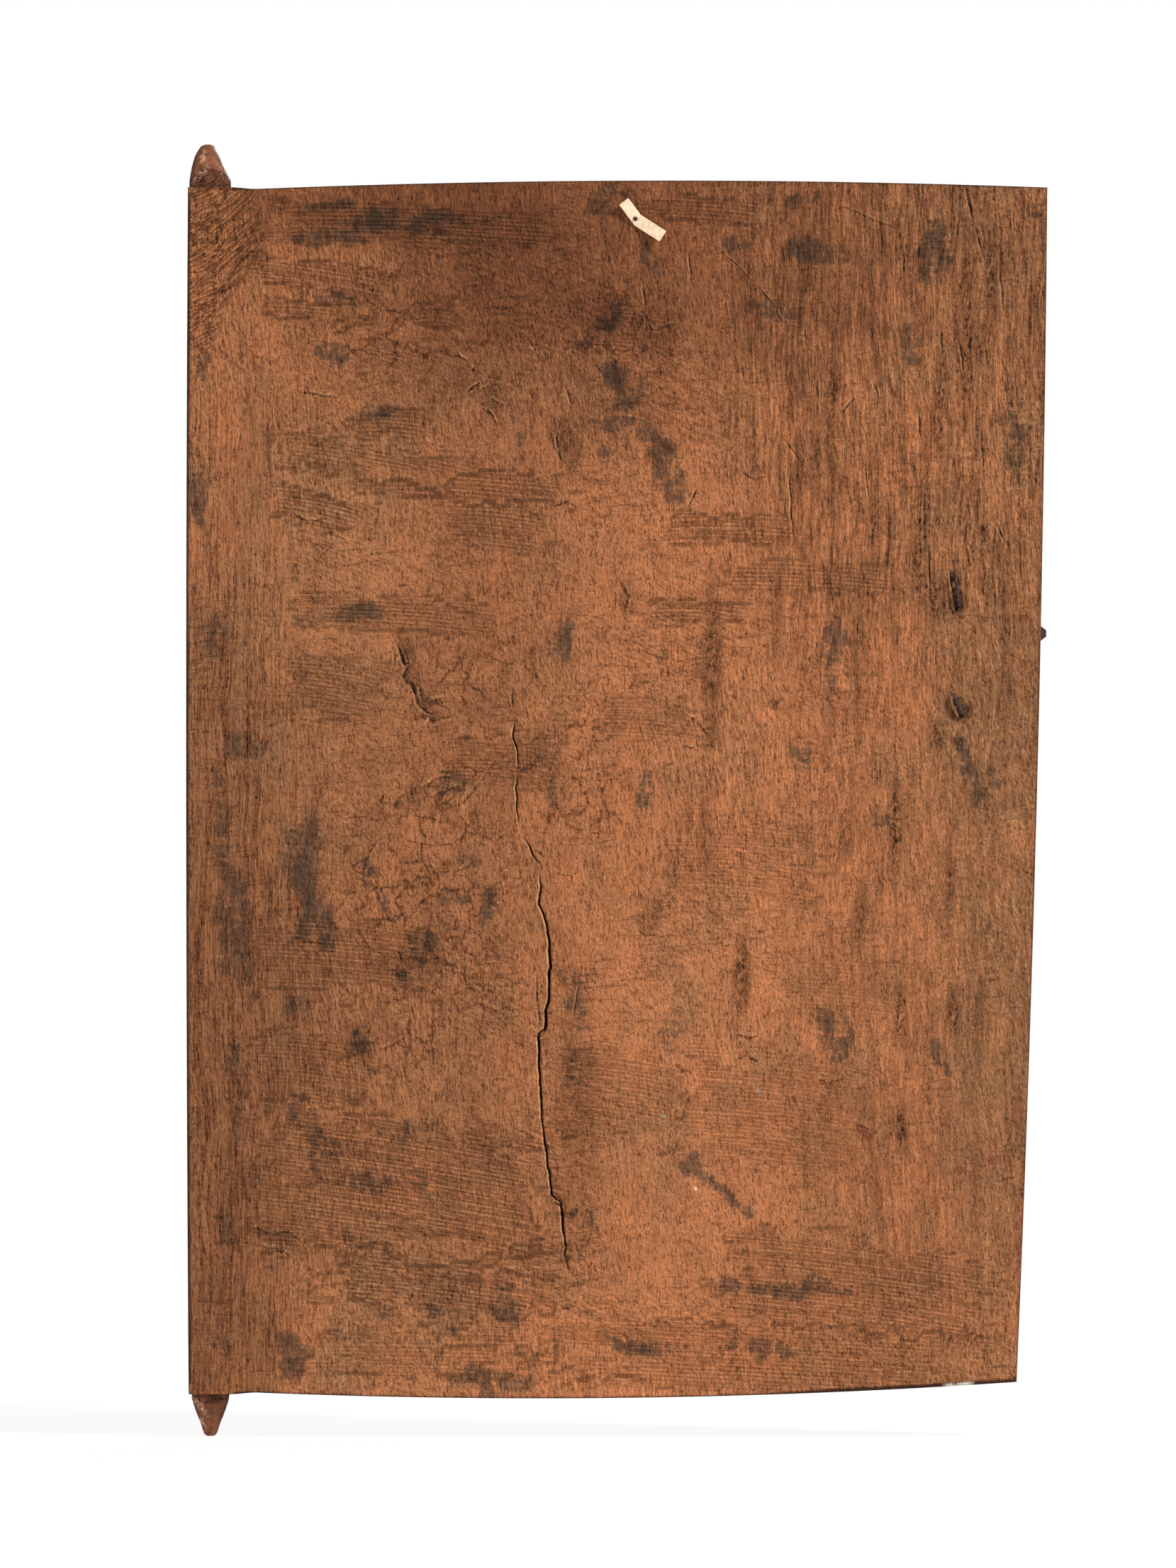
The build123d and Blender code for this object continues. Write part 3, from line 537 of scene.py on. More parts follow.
# Furrows of the weathered grain: (x, z, half width, half height, depth)
FURROWS = [
    (284, 420, 3.6, 40, 0.6), (280, 318, 3, 24, 0.4), (300, 234, 3.4, 18, 0.7), (411, 448, 3, 12, 0.7),
    (411, 372, 3, 8, 0.7), (387, 318, 2, 26, 0.8), (388.5, 216, 2, 15, 0.9), (390.7, 150, 2, 12, 0.9),
    (418, 286, 2.2, 26, 0.5), (418.6, 216, 2, 14, 0.9), (374, 118, 2, 19, 0.3), (431, 121, 2, 29, 0.3),
    (435, 210, 2, 26, 0.4), (359, 316, 4, 14, 0.5), (350, 560, 2, 50, 0.6), (428, 600, 2.4, 50, 0.7),
    (366, 420, 2, 50, 0.5), (448, 420, 2, 70, 0.5), (400, 480, 2.4, 40, 0.7), (375, 500, 2.4, 34, 0.6),
    (340, 530, 2, 26, 0.6), (412, 560, 2.4, 40, 0.7), (440, 630, 2.4, 34, 0.6), (366, 268, 3, 18, 0.6),
    (320, 440, 2, 30, 0.4),
]
# Edges of adze cuts that old water left dark: each a run of (x, z)
TIDE_LINES = [
    [(141, 327), (148, 318), (154, 315), (160, 312), (167, 317)],
    [(142, 355), (151, 352), (160, 350), (169, 348)],
    [(104, 331), (107, 337), (112, 339), (121, 341), (127, 341)],
    [(112, 313), (118, 311), (129, 310), (138, 311)], [(138, 295), (144, 297), (148, 301)],
    [(114, 288), (117, 292), (123, 292)], [(96, 314), (89, 304), (87, 295)],
    [(95, 290), (94, 285), (99, 272), (104, 266), (109, 272)], [(123, 281), (118, 276), (114, 270)],
    [(97, 195), (105, 198), (110, 202)], [(106, 250), (112, 247), (120, 246)],
    [(195, 294), (206, 292), (214, 286)], [(60, 470), (70, 480), (66, 492)],
    [(150, 222), (160, 216), (170, 220)], [(102, 320), (96, 330), (98, 342)],
    [(84, 262), (90, 252), (98, 248)], [(244, 612), (250, 600), (262, 604)],
    [(124, 300), (130, 290), (128, 282)], [(44, 262), (52, 256), (64, 254)],
    [(33, 377), (40, 380), (50, 381), (60, 380), (67, 378)], [(110, 338), (118, 345), (124, 338)],
    [(124, 338), (132, 330), (142, 333), (152, 344)], [(152, 344), (160, 356), (170, 358)],
    [(84, 590), (95, 586), (108, 588), (114, 596)], [(88, 618), (96, 612), (106, 612)],
]
# Short drying cracks, and a dark slot left of each nail, part hole and part the nail's painted shadow:
# (x at the foot, z at the foot, x at the top, z at the top, half width)
SHORT_CRACKS = [
    (246, 612, 245, 629, 0.25), (272, 626, 270.5, 646, 0.2), (392, 633, 392, 644, 0.2),
    (439, 580, 437.5, 596, 0.2), (425.5, 578, 423, 597, 0.35), (401.4, 540, 399.7, 556, 0.35),
    (329.5, 484, 327, 520, 0.25), (337, 589, 335, 604, 0.2), (357, 554, 363.5, 562, 0.25),
    (333, 527, 323, 541, 0.2), (285.6, 648.4, 309.2, 625.6, 0.12), (309.2, 625.6, 318, 614.8, 0.14),
    (318, 614.8, 324.4, 603.6, 0.12), (324.4, 603.6, 334, 601.6, 0.1), (349.2, 672.8, 396, 654.8, 0.1),
    (431.2, 663, 426.8, 684, 0.6), (439.4, 633, 431.2, 663, 0.25), (403, 487, 403.5, 514, 0.3),
    (448.4, 481, 444.6, 491, 0.3), (413.5, 591, 412.5, 602, 0.3), (406.5, 451, 405.8, 484, 0.25),
    (378, 560, 374, 574, 0.15), (345, 556, 342, 572, 0.12), (372, 502, 370, 530, 0.15),
    (437, 520, 435, 552, 0.2), (448, 610, 446, 640, 0.2), (270, 500, 275, 512, 0.2),
    (186.5, 206, 184.2, 238, 0.4), (110, 411, 106.5, 422, 0.8), (109, 404, 112.5, 411, 0.6),
    (117, 394, 113, 403, 1.1), (119, 388, 116, 395, 0.8), (125, 384, 119, 388, 0.5),
    (198, 527, 196, 541, 0.45), (204, 560, 201, 570, 0.35), (146, 566, 152, 571, 0.35),
    (157, 556, 161, 548, 0.3), (421.2, 442, 417.9, 465, 0.8), (423.8, 381, 418, 396, 0.3),
    (426.2, 381, 421.2, 395, 0.3), (425.2, 443, 422.4, 463, 0.25), (420, 402, 416, 414, 0.15),
    (205, 214, 209, 232, 0.15),
]
# Where the nails come through: (x, z)
NAILS = [(423.1, 444.4), (424.8, 383.6)]
# Specks of old paint and lime: (x, z, half size, colour)
TURQUOISE, LIME = (112, 158, 146), (206, 188, 164)
SPECKS = [
    (256, 157, 1.1, TURQUOISE), (260.5, 150, 0.9, TURQUOISE), (309.5, 172, 0.9, TURQUOISE),
    (310.6, 169.4, 0.7, TURQUOISE), (274, 116, 1.2, LIME),
]


def beside_line(x, z, x0, z0, x1, z1):
    """Signed distance beside a short crack, and how open it is there, 0 past its ends."""
    run = np.array([x1 - x0, z1 - z0])
    length = np.hypot(*run)
    way = run / length
    ahead = (x - x0) * way[0] + (z - z0) * way[1]
    wander = 0.5 * wave(ahead, 6, int(x0)) + 0.3 * wave(ahead, 2.7, 7)
    aside = (x - x0) * way[1] - (z - z0) * way[0] + wander
    ends = smooth(-2.0, length * 0.3, ahead) * smooth(length + 2.0, length * 0.6, ahead)
    return aside, ends


def crack_open(z):
    """Half the width of the long crack at a height, millimetres."""
    width = 0.10 + 0.40 * smooth(300, 235, z) * smooth(150, 200, z) + 0.26 * smooth(200, 120, z)
    width += 0.14 * wave(z, 11, 41)
    return width * smooth(CRACK_FOOT, CRACK_FOOT + 50, z) * smooth(CRACK_TOP, CRACK_TOP - 40, z)


def stile_share(x, z):
    """Where the hinge stile's upper end is chopped crosswise."""
    edge = 24 + 6 * wave(z, 30, 3) - 22 * smooth(650, 592, z)
    return smooth(edge + 7, edge - 3, x) * smooth(575, 605, z + 6 * cloud(x, z, 9, 9, 4))


# Patches scored across the grain: (x, z, half width, half height, slope in degrees, strength)
SCORINGS = [
    (119, 660, 76, 11, -2, 1), (65, 629, 42, 8, -9, 0.8), (61, 611, 29, 5, -5, 0.7),
    (128, 609, 11, 6, -4, 0.8), (99, 547, 22, 8, -2, 0.8), (91, 525, 54, 10, -10, 0.8),
    (62, 499, 25, 9, -12, 0.9), (130, 514, 60, 8, -3, 0.7), (163, 488, 30, 13, -6, 0.6),
    (280, 668, 38, 7, -4, 0.8), (299, 488, 36, 8, -2, 0.9), (339, 461, 47, 8, -3, 0.9),
    (276, 442, 26, 5, -3, 0.8), (105, 112, 80, 40, -9, 1), (128, 70, 60, 22, -7, 0.9),
    (362, 60, 70, 26, -7, 0.8), (290, 22, 140, 18, -3, 0.6), (81, 248, 50, 18, -5, 0.7),
    (166, 357, 26, 14, -6, 0.7), (250, 380, 30, 10, -5, 0.5), (100, 440, 50, 9, -3, 0.7),
    (232, 170, 34, 26, -8, 0.5), (320, 160, 50, 30, -6, 0.5), (60, 184, 34, 20, -7, 0.5),
    (300, 300, 40, 26, -4, 0.4), (70, 400, 30, 16, -8, 0.6), (230, 600, 26, 14, -4, 0.5),
    (150, 20, 90, 12, -2, 0.5), (360, 230, 34, 20, -5, 0.3), (120, 580, 40, 10, -14, 0.4),
]


PATCH_APART = (500, 77)    # shifts along and across the lines, so that no two patches match
PATCH_BOW = 1.5            # the lines of a patch bow by this at its ends


def scoring(x, z):
    """How scored a point is, and its place along and across the lines of its patch."""
    share, second, ahead, across = 0 * x, 0 * x, 0 * x, 0 * x
    for number, (at_x, at_z, half_width, half_height, slope, strength) in enumerate(SCORINGS):
        c, s = math.cos(math.radians(slope)), math.sin(math.radians(slope))
        p, q = (x - at_x) * c + (z - at_z) * s, (z - at_z) * c - (x - at_x) * s
        ragged = 1 + 0.35 * cloud(x, z, 9, 5, 80 + number)
        here = strength * smooth(1.15, 0.75, np.abs(p) / half_width / ragged)
        here *= smooth(1.15, 0.75, np.abs(q) / half_height / ragged)
        mine = here > share
        second = np.where(mine, share, np.maximum(second, here))
        share = np.where(mine, here, share)
        ahead = np.where(mine, p + PATCH_APART[0] * number, ahead)
        across = np.where(mine, q + PATCH_BOW * (p / half_width) ** 2 + PATCH_APART[1] * number, across)
    return share * smooth(0.0, 0.3, share - second), ahead, across


def weathered_share(x, z):
    """Where the back's right third is weathered into ridges along the grain."""
    start = 322 - 34 * smooth(470, 560, z) + 20 * cloud(x, z, 60, 130, 91)
    lower = 0.45 + 0.55 * smooth(390, 470, z + 12 * cloud(x, z, 40, 40, 95))
    return smooth(-25, 45, x - start) * smooth(60, 200, z + 0.2 * x) * lower


def streaky_share(x, z):
    """Where the hinge stile is planed in fine upright streaks."""
    return smooth(66, 34, x + 14 * cloud(x, z, 30, 50, 92)) * smooth(590, 540, z)


def fuzzy_share(x, z):
    """Where the cut fibres stand up."""
    patches = smooth(0.0, 0.5, cloud(x, z, 34, 44, 93) + 0.4 * cloud(x, z, 12, 15, 94))
    upper = blob(x, z, 150, 600, 110, 60)
    return np.clip(0.55 * patches + 0.8 * upper + 0.5 * smooth(390, 440, x), 0, 1)


def adze_cuts(x, z):
    """0 in the middle of each broad cut of the adze, 1 where two of them meet."""
    return scoops(x + 3 * cloud(x, z, 12, 15, 55), z, 34, 44, 0, 28)


def furrows(z, wider=0.0):
    """The furrows as soft ovals, bent a little sideways as the grain is."""
    return [
        (at_x + 1.6 * wave(z, 33, int(at_x)), at_z, half_width + wider, half_height, deep)
        for at_x, at_z, half_width, half_height, deep in FURROWS]


def back_hollow(x, z):
    """How far the back lies below its highest level, millimetres."""
    chop = stile_share(x, z)
    weathered = weathered_share(x, z)
    hollow = 1.0 + 0.45 * cloud(x, z, 70, 110, 11) + 0.35 * cloud(x, z, 26, 60, 12)
    cut = adze_cuts(x, z)
    hollow -= (1 - chop) * (1 - 0.5 * weathered) * cut * cut
    strokes = scoops(x, z, 9, 30, 6, 22)
    hollow -= 0.30 * strokes * strokes * (1 - 0.6 * weathered) * (1 - chop)
    dashes = scoops(x, z, 15, 4.8, 42, 23)
    hollow += chop * 0.6 * (1 - dashes)
    ribs = cloud(x, z, 5.2, 90, 25) + 0.7 * cloud(x, z, 3.0, 50, 26)
    hollow += weathered * 0.55 * ribs
    hollow += fuzzy_share(x, z) * 0.25 * cloud(x, z, 4.0, 6.0, 29)
    hollow += (1 + 0.35 * cloud(x, z, 4, 5, 27)) * sum_of(PITS, x, z) + sum_of(furrows(z), x, z)
    for x0, z0, x1, z1, half_width in SHORT_CRACKS:
        aside, ends = beside_line(x, z, x0, z0, x1, z1)
        hollow += 1.6 * half_width * ends * smooth(2.6, 0.3, np.abs(aside))
    for at_x, at_z in NAILS:
        hollow += sum_of([(at_x + 0.4, at_z - 1.2, 3.0, 3.4, 1.5), (at_x, at_z + 4, 4, 9, 0.5)], x, z)
    aside = x - crack_line(z)
    opening = crack_open(z)
    hollow += 4.0 * smooth(opening + 0.35, opening * 0.5, np.abs(aside)) * smooth(0.02, 0.2, opening)
    lip = smooth(0.0, 0.5, aside) * smooth(26, 0, aside) * smooth(0.05, 0.4, opening)
    hollow += lip * (0.35 + 0.6 * blob(x, z, 204, 178, 22, 78))
    raised = smooth(0.0, -0.5, aside) * smooth(-9, 0, aside) * smooth(0.05, 0.4, opening)
    return np.maximum(hollow - 0.3 * raised, 0.0)


# Broad differences of colour on the back: (x, z, half width, half height, lightness, redness)
GROUNDS = [
    (-4, 560, 14, 120, 1.05, 0.4), (0, 400, 22, 110, 0.83, -0.3), (10, 240, 26, 90, 0.79, -0.2),
    (8, 70, 26, 70, 0.77, -0.1), (-2, 650, 14, 34, 0.94, 0.1), (70, 610, 46, 50, 0.91, 0.4),
    (115, 667, 70, 18, 0.48, -0.3), (170, 625, 60, 34, 0.46, 0.2), (150, 575, 50, 30, 0.8, 0),
    (250, 640, 40, 36, 0.63, 0.2), (245, 560, 34, 30, 0.74, 0.1), (330, 640, 50, 40, 0.77, 0.1),
    (420, 640, 40, 40, 0.93, 0), (70, 480, 40, 60, 1.04, -0.1), (165, 480, 45, 60, 0.86, 0.1),
    (240, 470, 40, 50, 1.08, 0.4), (60, 340, 30, 60, 0.92, -0.2), (130, 300, 50, 70, 0.92, 0.1),
    (235, 330, 38, 90, 1.08, 0.4), (300, 500, 40, 60, 1, 0.3), (350, 400, 40, 90, 1.11, 0.3),
    (420, 500, 40, 60, 1.1, 0.2), (440, 390, 30, 60, 1, -0.3), (380, 260, 60, 70, 1.14, 0.2),
    (440, 200, 30, 80, 1.04, -0.2), (250, 190, 50, 60, 1.2, 0.2), (110, 190, 50, 50, 0.9, 0),
    (120, 100, 70, 60, 1.04, -0.1), (205, 170, 12, 70, 0.76, 0.1), (280, 80, 60, 50, 1.2, 0.3),
    (380, 110, 60, 60, 1.08, 0.2), (400, 35, 70, 30, 1.14, 0.3), (180, 20, 80, 22, 1.36, 0.3),
    (90, 30, 50, 26, 1.14, 0),
]


# A pale chip on the foot's arris, from and to this x
FOOT_CHIP = (413, 432)


def nearest_line(x, z, lines):
    """Signed distance beside the nearest of some fine lines, and how open it is there."""
    line_aside, line_open = 30 + 0 * x, 0 * x
    for x0, z0, x1, z1, half_width in lines:
        aside, ends = beside_line(x, z, x0, z0, x1, z1)
        near = (np.abs(aside) < np.abs(line_aside)) & (ends > 0) & (np.abs(aside) < 7)
        line_aside = np.where(near, aside, line_aside)
        line_open = np.where(near, half_width * ends, line_open)
    return line_aside, line_open


def write_back(piece):
    """Stores where the back is stained, scored, worn and weathered."""
    x, y, z = spots_of(piece)
    tone, red, weight = 0.02 + 0 * x, 0 * x, 0.02 + 0 * x
    wander_x = x + 9 * cloud(x, z, 26, 40, 51)
    wander_z = z + 9 * cloud(x, z, 30, 26, 52)
    for at_x, at_z, half_width, half_height, light, redness in GROUNDS:
        near = np.exp(
            -((wander_x - at_x) / half_width) ** 2 - ((wander_z - at_z) / half_height) ** 2) + 1e-6
        tone, red, weight = tone + near * light, red + near * redness, weight + near
    ragged_x = x + 4 * cloud(x, z, 13, 17, 56) + 2 * cloud(x, z, 5, 7, 53)
    ragged_z = z + 4 * cloud(x, z, 15, 12, 57) + 2 * cloud(x, z, 7, 5, 54)
    line_aside, line_open = nearest_line(x, z, SHORT_CRACKS)
    # Tide lines and torn lips as fine lines; the lips' darkness is painted shadow, the tide lines'
    # darkness old water
    tide_and_lip_runs = [
        (*start, *end, open_by) for runs, open_by in ((TIDE_LINES, 0.3), (LIPS, 0.8))
        for run in runs for start, end in zip(run, run[1:])]
    tide_aside, tide_open = nearest_line(x, z, tide_and_lip_runs)
    round_nails = [(at_x, at_z - 1, 3.4, 4.4, 1.2) for at_x, at_z in NAILS]
    from_foot = z - foot_edge(x)
    # Painted shadow of the plank's underside: along the foot's right part the edge reads nearer, so the
    # finish paints the arris darker and wider there
    painted_underside_shadow = 1.6 * smooth(300, 360, x) * smooth(6.0, 3.0, from_foot)
    chip_run = smooth(FOOT_CHIP[0], FOOT_CHIP[0] + 4, x) * smooth(FOOT_CHIP[1], FOOT_CHIP[1] - 4, x)
    score, score_x, score_z = scoring(x, z)
    write(
        piece, tone=tone / weight, red=red / weight,
        stain=most_of(STAINS, ragged_x, ragged_z) * (0.85 + 0.3 * cloud(x, z, 9, 14, 58)),
        rust=most_of(RED_STAINS, ragged_x, ragged_z), plates=most_of(PLATES, ragged_x, ragged_z),
        pit=np.maximum(most_of(PITS, ragged_x, ragged_z), most_of(round_nails, x, z)),
        furrow=most_of(furrows(z, 1.0), x, z), calm=most_of(CALM, x, z), facet=adze_cuts(x, z),
        score=score, score_x=score_x, score_z=score_z, chop=stile_share(x, z),
        chop_left=smooth(9, 2, x + 3 * cloud(x, z, 12, 20, 59)), weathered=weathered_share(x, z),
        streaky=streaky_share(x, z), fuzzy=fuzzy_share(x, z),
        line_aside=line_aside, line_open=line_open, tide_aside=tide_aside, tide_open=tide_open,
        edge=edge_gap(x, z) + 9 * beside_pivot(x, z) - painted_underside_shadow,
        chip=chip_run * smooth(3.2, 2.2, from_foot) * smooth(-0.4, 0.6, from_foot),
        side=smooth(BACK_Y + 4.0, BACK_Y + 7.0, y), aside=np.clip(x - crack_line(z), -30, 30),
        opening=np.where(y < 0, crack_open(z), 0))


# ---------------------------------------------------------------- the carved front
STILE_WIDTH = 44.0
RIM = 15.0
BAND = 18.0
RELIEF = 4.5
ROW_HEIGHTS = [150.0, 150.0, 192.0]
ROW_COUNTS = [9, 9, 6]
TOP_ROW_COUNT = 9
FIGURE_FILL = 0.43
LOCK_PAD = 22.0
GRIP_LEFT_X = 348.7
# The front is left flat under the lock case, to these distances from its middle, and along the bolt
FLAT_HALF_WIDTH, FLAT_HALF_HEIGHT, FLAT_MIDDLE_Z = 18.0, 64.0, 434.0
FLAT_BOLT_FROM, FLAT_BOLT_TO, FLAT_BOLT_HALF = 346.0, 474.0, 15.0
WALL_REACH = 9.0           # distances to a carved wall are followed this far
FIGURE_SIDE = [
    (0.00, 0.30), (0.16, 0.27), (0.26, 0.00), (0.74, 0.00), (0.66, 0.20), (0.56, 0.38),
    (0.34, 0.44), (0.52, 0.62), (1.00, 0.66), (1.00, 0.99), (0.74, 0.99), (0.70, 0.75),
    (0.24, 0.75), (0.22, 0.80), (0.42, 0.85), (0.38, 0.95), (0.16, 1.00),
]


def carved_rows():
    """The sunk rows of the front, from the foot up: (x0, x1, z0, z1, number of figures)."""
    x0, x_free = STILE_WIDTH - LEFT_TOP, REACH - DRAW_IN_FOOT - RIM
    rows, z = [], RIM
    for height, count in zip(ROW_HEIGHTS, ROW_COUNTS):
        x1 = GRIP_LEFT_X - LOCK_PAD if z + height > BOLT_Z - CASE_BELOW else x_free
        rows.append((x0, x1, z, z + height, count))
        z += height + BAND
    rows.append((x0, x_free, z, SHOULDER - RIM, TOP_ROW_COUNT))
    return rows


def outline_gap(x, z, corners):
    """Distance to a closed outline, negative inside it."""
    nearest = np.full(x.shape, 1e6)
    inside = np.zeros(x.shape, dtype=bool)
    for (x0, z0), (x1, z1) in zip(corners, corners[1:] + corners[:1]):
        run = (x1 - x0) ** 2 + (z1 - z0) ** 2
        share = np.clip(((x - x0) * (x1 - x0) + (z - z0) * (z1 - z0)) / run, 0, 1)
        away = np.hypot(x - x0 - share * (x1 - x0), z - z0 - share * (z1 - z0))
        nearest = np.minimum(nearest, away)
        if z0 != z1:
            crosses = (z0 > z) != (z1 > z)
            inside ^= crosses & (x < x0 + (z - z0) / (z1 - z0) * (x1 - x0))
    return np.where(inside, -nearest, nearest)


def ground_depth(x, z):
    """Distance into the sunk ground from its nearest wall, negative on figures and bands."""
    depth = np.full(x.shape, -WALL_REACH)
    for x0, x1, z0, z1, count in carved_rows():
        wall = np.minimum(np.minimum(x - x0, x1 - x), np.minimum(z - z0, z1 - z))
        near = wall > -WALL_REACH
        place = (x1 - x0) / count
        for number in range(count):
            middle = x0 + place * (number + 0.5)
            mine = near & (np.abs(x - middle) <= place / 2 + 6)
            half = place * FIGURE_FILL
            right = [(middle + u * half, z0 + v * (z1 - z0)) for u, v in FIGURE_SIDE]
            left = [(2 * middle - at_x, at_z) for at_x, at_z in reversed(right[1:])]
            gap = outline_gap(x[mine], z[mine], right + left)
            wall[mine] = np.minimum(wall[mine], gap)
        depth = np.where(near, np.maximum(depth, wall), depth)
    return depth


def front_hollow(x, z):
    """How far the front lies below the level of its bands."""
    depth = ground_depth(x, z)
    wear = 0.25 + 0.2 * cloud(x, z, 40, 60, 61) + 0.12 * cloud(x, z, 9, 14, 62)
    cuts = 0.35 * scoops(x, z, 7, 12, 12, 63)
    sunk = smooth(-0.2, 1.9, depth)
    rounded = 0.9 * smooth(-5.5, 0.0, depth) ** 2
    beside_lock = smooth(FLAT_HALF_WIDTH + 8, FLAT_HALF_WIDTH, np.abs(x - LOCK_X)) * smooth(
        FLAT_HALF_HEIGHT + 6, FLAT_HALF_HEIGHT, np.abs(z - FLAT_MIDDLE_Z))
    beside_bolt = (
        smooth(FLAT_BOLT_FROM - 8, FLAT_BOLT_FROM, x) * smooth(FLAT_BOLT_TO + 4, FLAT_BOLT_TO, x)
        * smooth(FLAT_BOLT_HALF + 4, FLAT_BOLT_HALF, np.abs(z - BOLT_Z)))
    quiet = np.maximum(beside_lock, beside_bolt)
    return (sunk * (RELIEF - cuts) + (1 - sunk) * rounded + wear * (1 - 0.6 * sunk)) * (1 - quiet)


def write_front(piece):
    x, y, z = spots_of(piece)
    write(piece, ground=np.clip(ground_depth(x, z), -WALL_REACH, WALL_REACH), edge=edge_gap(x, z))


# ---------------------------------------------------------------- finishes
def cuts_of(finish, left):
    """Short slanting cuts: each stroke's groove and the lip beside it, for painted shade and painted
    highlight as well as bump; flatter at the left.
    """
    steep = finish.noise((0.055, 0.3, 0.60), 1.5, 0.5, 71, turn=43)
    flat = finish.noise((0.10, 0.3, 0.66), 1.5, 0.5, 77, turn=27)
    cut = finish.blend(left, steep, flat)
    return cut.near(0.48, 0.050, 0.015), cut.near(0.57, 0.050, 0.015)


def back_wood():
    """Dry red-brown wood: grain, adze and scoring marks, pores and dark stains."""
    finish = Finish("door_wood")
    noise = finish.noise
    tone, red, stain, pit, rust, plates, calm, facet, furrow, edge, side, chip = finish.stored(
        "tone red stain pit rust plates calm facet furrow edge side chip")
    chop, chop_left, weathered, streaky, fuzzy, score, score_x, score_z = finish.stored(
        "chop chop_left weathered streaky fuzzy score score_x score_z")
    opening, aside, line_open, line_aside, tide_open, tide_aside = finish.stored(
        "opening aside line_open line_aside tide_open tide_aside")
    rough = 1 - calm * 0.55
    upright = (streaky + weathered * 0.7).least(1.0) * (1 - chop)

    # The wood itself, from broad patches to single fibres
    patch = noise((0.016, 0.02, 0.018), 3, 0.6, 51).step(0.38, 0.62)
    mottle = noise((0.05, 0.05, 0.032), 5, 0.6, 3)
    streak = noise((0.22, 0.2, 0.0045), 4, 0.6, 9, bend=1.0)
    ridge = noise((0.42, 0.2, 0.011), 4, 0.65, 17, bend=1.0)
    grain = noise((0.8, 0.3, 0.016), 4, 0.62, bend=1.0)
    fibre = noise((1.1, 0.5, 0.10), 2, 0.6, 5, bend=0.5)
    fuzz = noise((0.70, 0.6, 0.32), 3, 0.6, turn=14)
    grit = noise((0.9, 0.7, 0.75), 2, 0.6, 6)
    ragged = noise((0.20, 0.3, 0.10), 6, 0.75, 31)
    steep = noise((0.66, 0.3, 0.13), 3, 0.6, 67, turn=9)
    slanted = noise((0.14, 0.3, 0.62), 3, 0.6, 61, turn=-24)
    strokes = finish.blend(patch, steep, slanted)
    split = noise((0.42, 0.3, 0.05), 4, 0.65, 83, turn=3, bend=0.7)
    dashes = split.step(0.56, 0.64) * weathered
    splinters = split.near(0.53, 0.035, 0.005) * weathered
    pores = noise((1.0, 0.4, 0.24), 2, shift=13).step(0.58, 0.68)
    pores = pores.most(noise((0.8, 0.4, 0.24), 2, shift=23, turn=16).step(0.60, 0.70))
    flakes = noise((0.62, 0.5, 0.26), 3, 0.7, 41, turn=-14)
    chips, flake_lips = flakes.step(0.50, 0.58), flakes.near(0.46, 0.035, 0.005)

    # Chopping, scoring across the grain, and where adze cuts meet; chop grooves get painted shade, chop
    # and score lips a painted highlight
    cut_grooves_and_painted_shade, painted_cut_highlight = cuts_of(finish, chop_left)
    chopped, painted_chop_highlight = cut_grooves_and_painted_shade * chop, painted_cut_highlight * chop
    lines = finish.node("ShaderNodeCombineXYZ", {}, {0: score_x * 0.016, 1: score_z * 0.46})
    scores = finish.hills(lines, rough=0.65)
    teeth = score_z * 2.7 + scores * 7.0
    painted_score_highlight = (teeth + 1.1).maths("SINE").step(0.7, 1.0) * score
    teeth = teeth.maths("SINE").step(0.55, 1.0) * (ragged.step(0.40, 0.56) * 0.7 + 0.3)
    comb = noise((0.055, 0.3, 0.62), 3, 0.6, 47, turn=5, bend=0.5)
    scored = (scores.step(0.52, 0.62) * 0.6).most(teeth * 0.9) * score
    scored = scored.most(comb.step(0.56, 0.70) * patch * 0.5)
    curl = finish.times(finish.hills(finish.turned((0.1, 0.1, 0.1)), output=1), 0.9)
    curl = finish.vector("ADD", finish.turned((0.052, 0.01, 0.044)), curl)
    voronoi = {"feature": "DISTANCE_TO_EDGE"}
    meet = finish.node("ShaderNodeTexVoronoi", voronoi, {"Vector": curl, "Scale": 1.0})
    outline = meet.step(0.05, 0.01) * (ragged + mottle - 1).step(-0.06, 0.06) * plates

    # Stains, torn spots and cracks, and the painted shadow and painted highlight of torn lips and crack
    # edges
    smear = noise((0.06, 0.1, 0.42), 4, 0.65, 37, turn=-4)
    broken = stain * 1.4 + ragged.swing(4.4) + smear.swing(2.0) - scores.swing(score) * 1.4
    broken = broken + grain.swing(streaky * 1.6 + 1.0)
    stained = broken.step(0.25, 0.9) * stain.step(0.02, 0.3)
    black = broken.step(1.0, 1.7) * stain.step(0.3, 0.8)
    grime = (grain.swing(1.4) + streak.swing(1.6) + 0.1).step(0.1, 0.55) * streaky
    torn = (pit * 0.8 + fuzz.swing(1.4)).step(0.35, 1.0) * pit.step(0.05, 0.4)
    aside, is_open = aside + fuzz.swing(1.8), opening.step(0.03, 0.15)
    crack = (aside.size() - opening + fibre.swing(0.5)).step(0.35, -0.05) * is_open
    lip = (aside + opening).near(-0.8, 0.9, 0.1) * is_open
    line = (line_aside.size() - line_open + fuzz.swing(1.2)).step(0.38, -0.05)
    line = line * line_open.step(0.02, 0.12) * (ragged.step(0.40, 0.52) * 0.6 + 0.4)
    # Dark on tide lines, as old water left them, and on torn lips as painted shadow
    tide_aside = tide_aside + fuzz.swing(3.4)
    water_line_and_lip_shadow = tide_aside.near(0, 0.9, 0.2) * tide_open.step(0.02, 0.2)
    # Painted highlight: a pale band beside torn lips and tide lines, beside the short cracks and on the
    # long crack's lip
    bright = tide_aside.near(-1.3, 1.5, 0.3) * tide_open * (chips * 0.8 + 0.1)
    bright = bright.most((line_aside + line_open).near(-1, 0.7, 0.1) * line_open.step(0.02, 0.2) * 0.4)
    bright = bright.most(lip * 0.7)
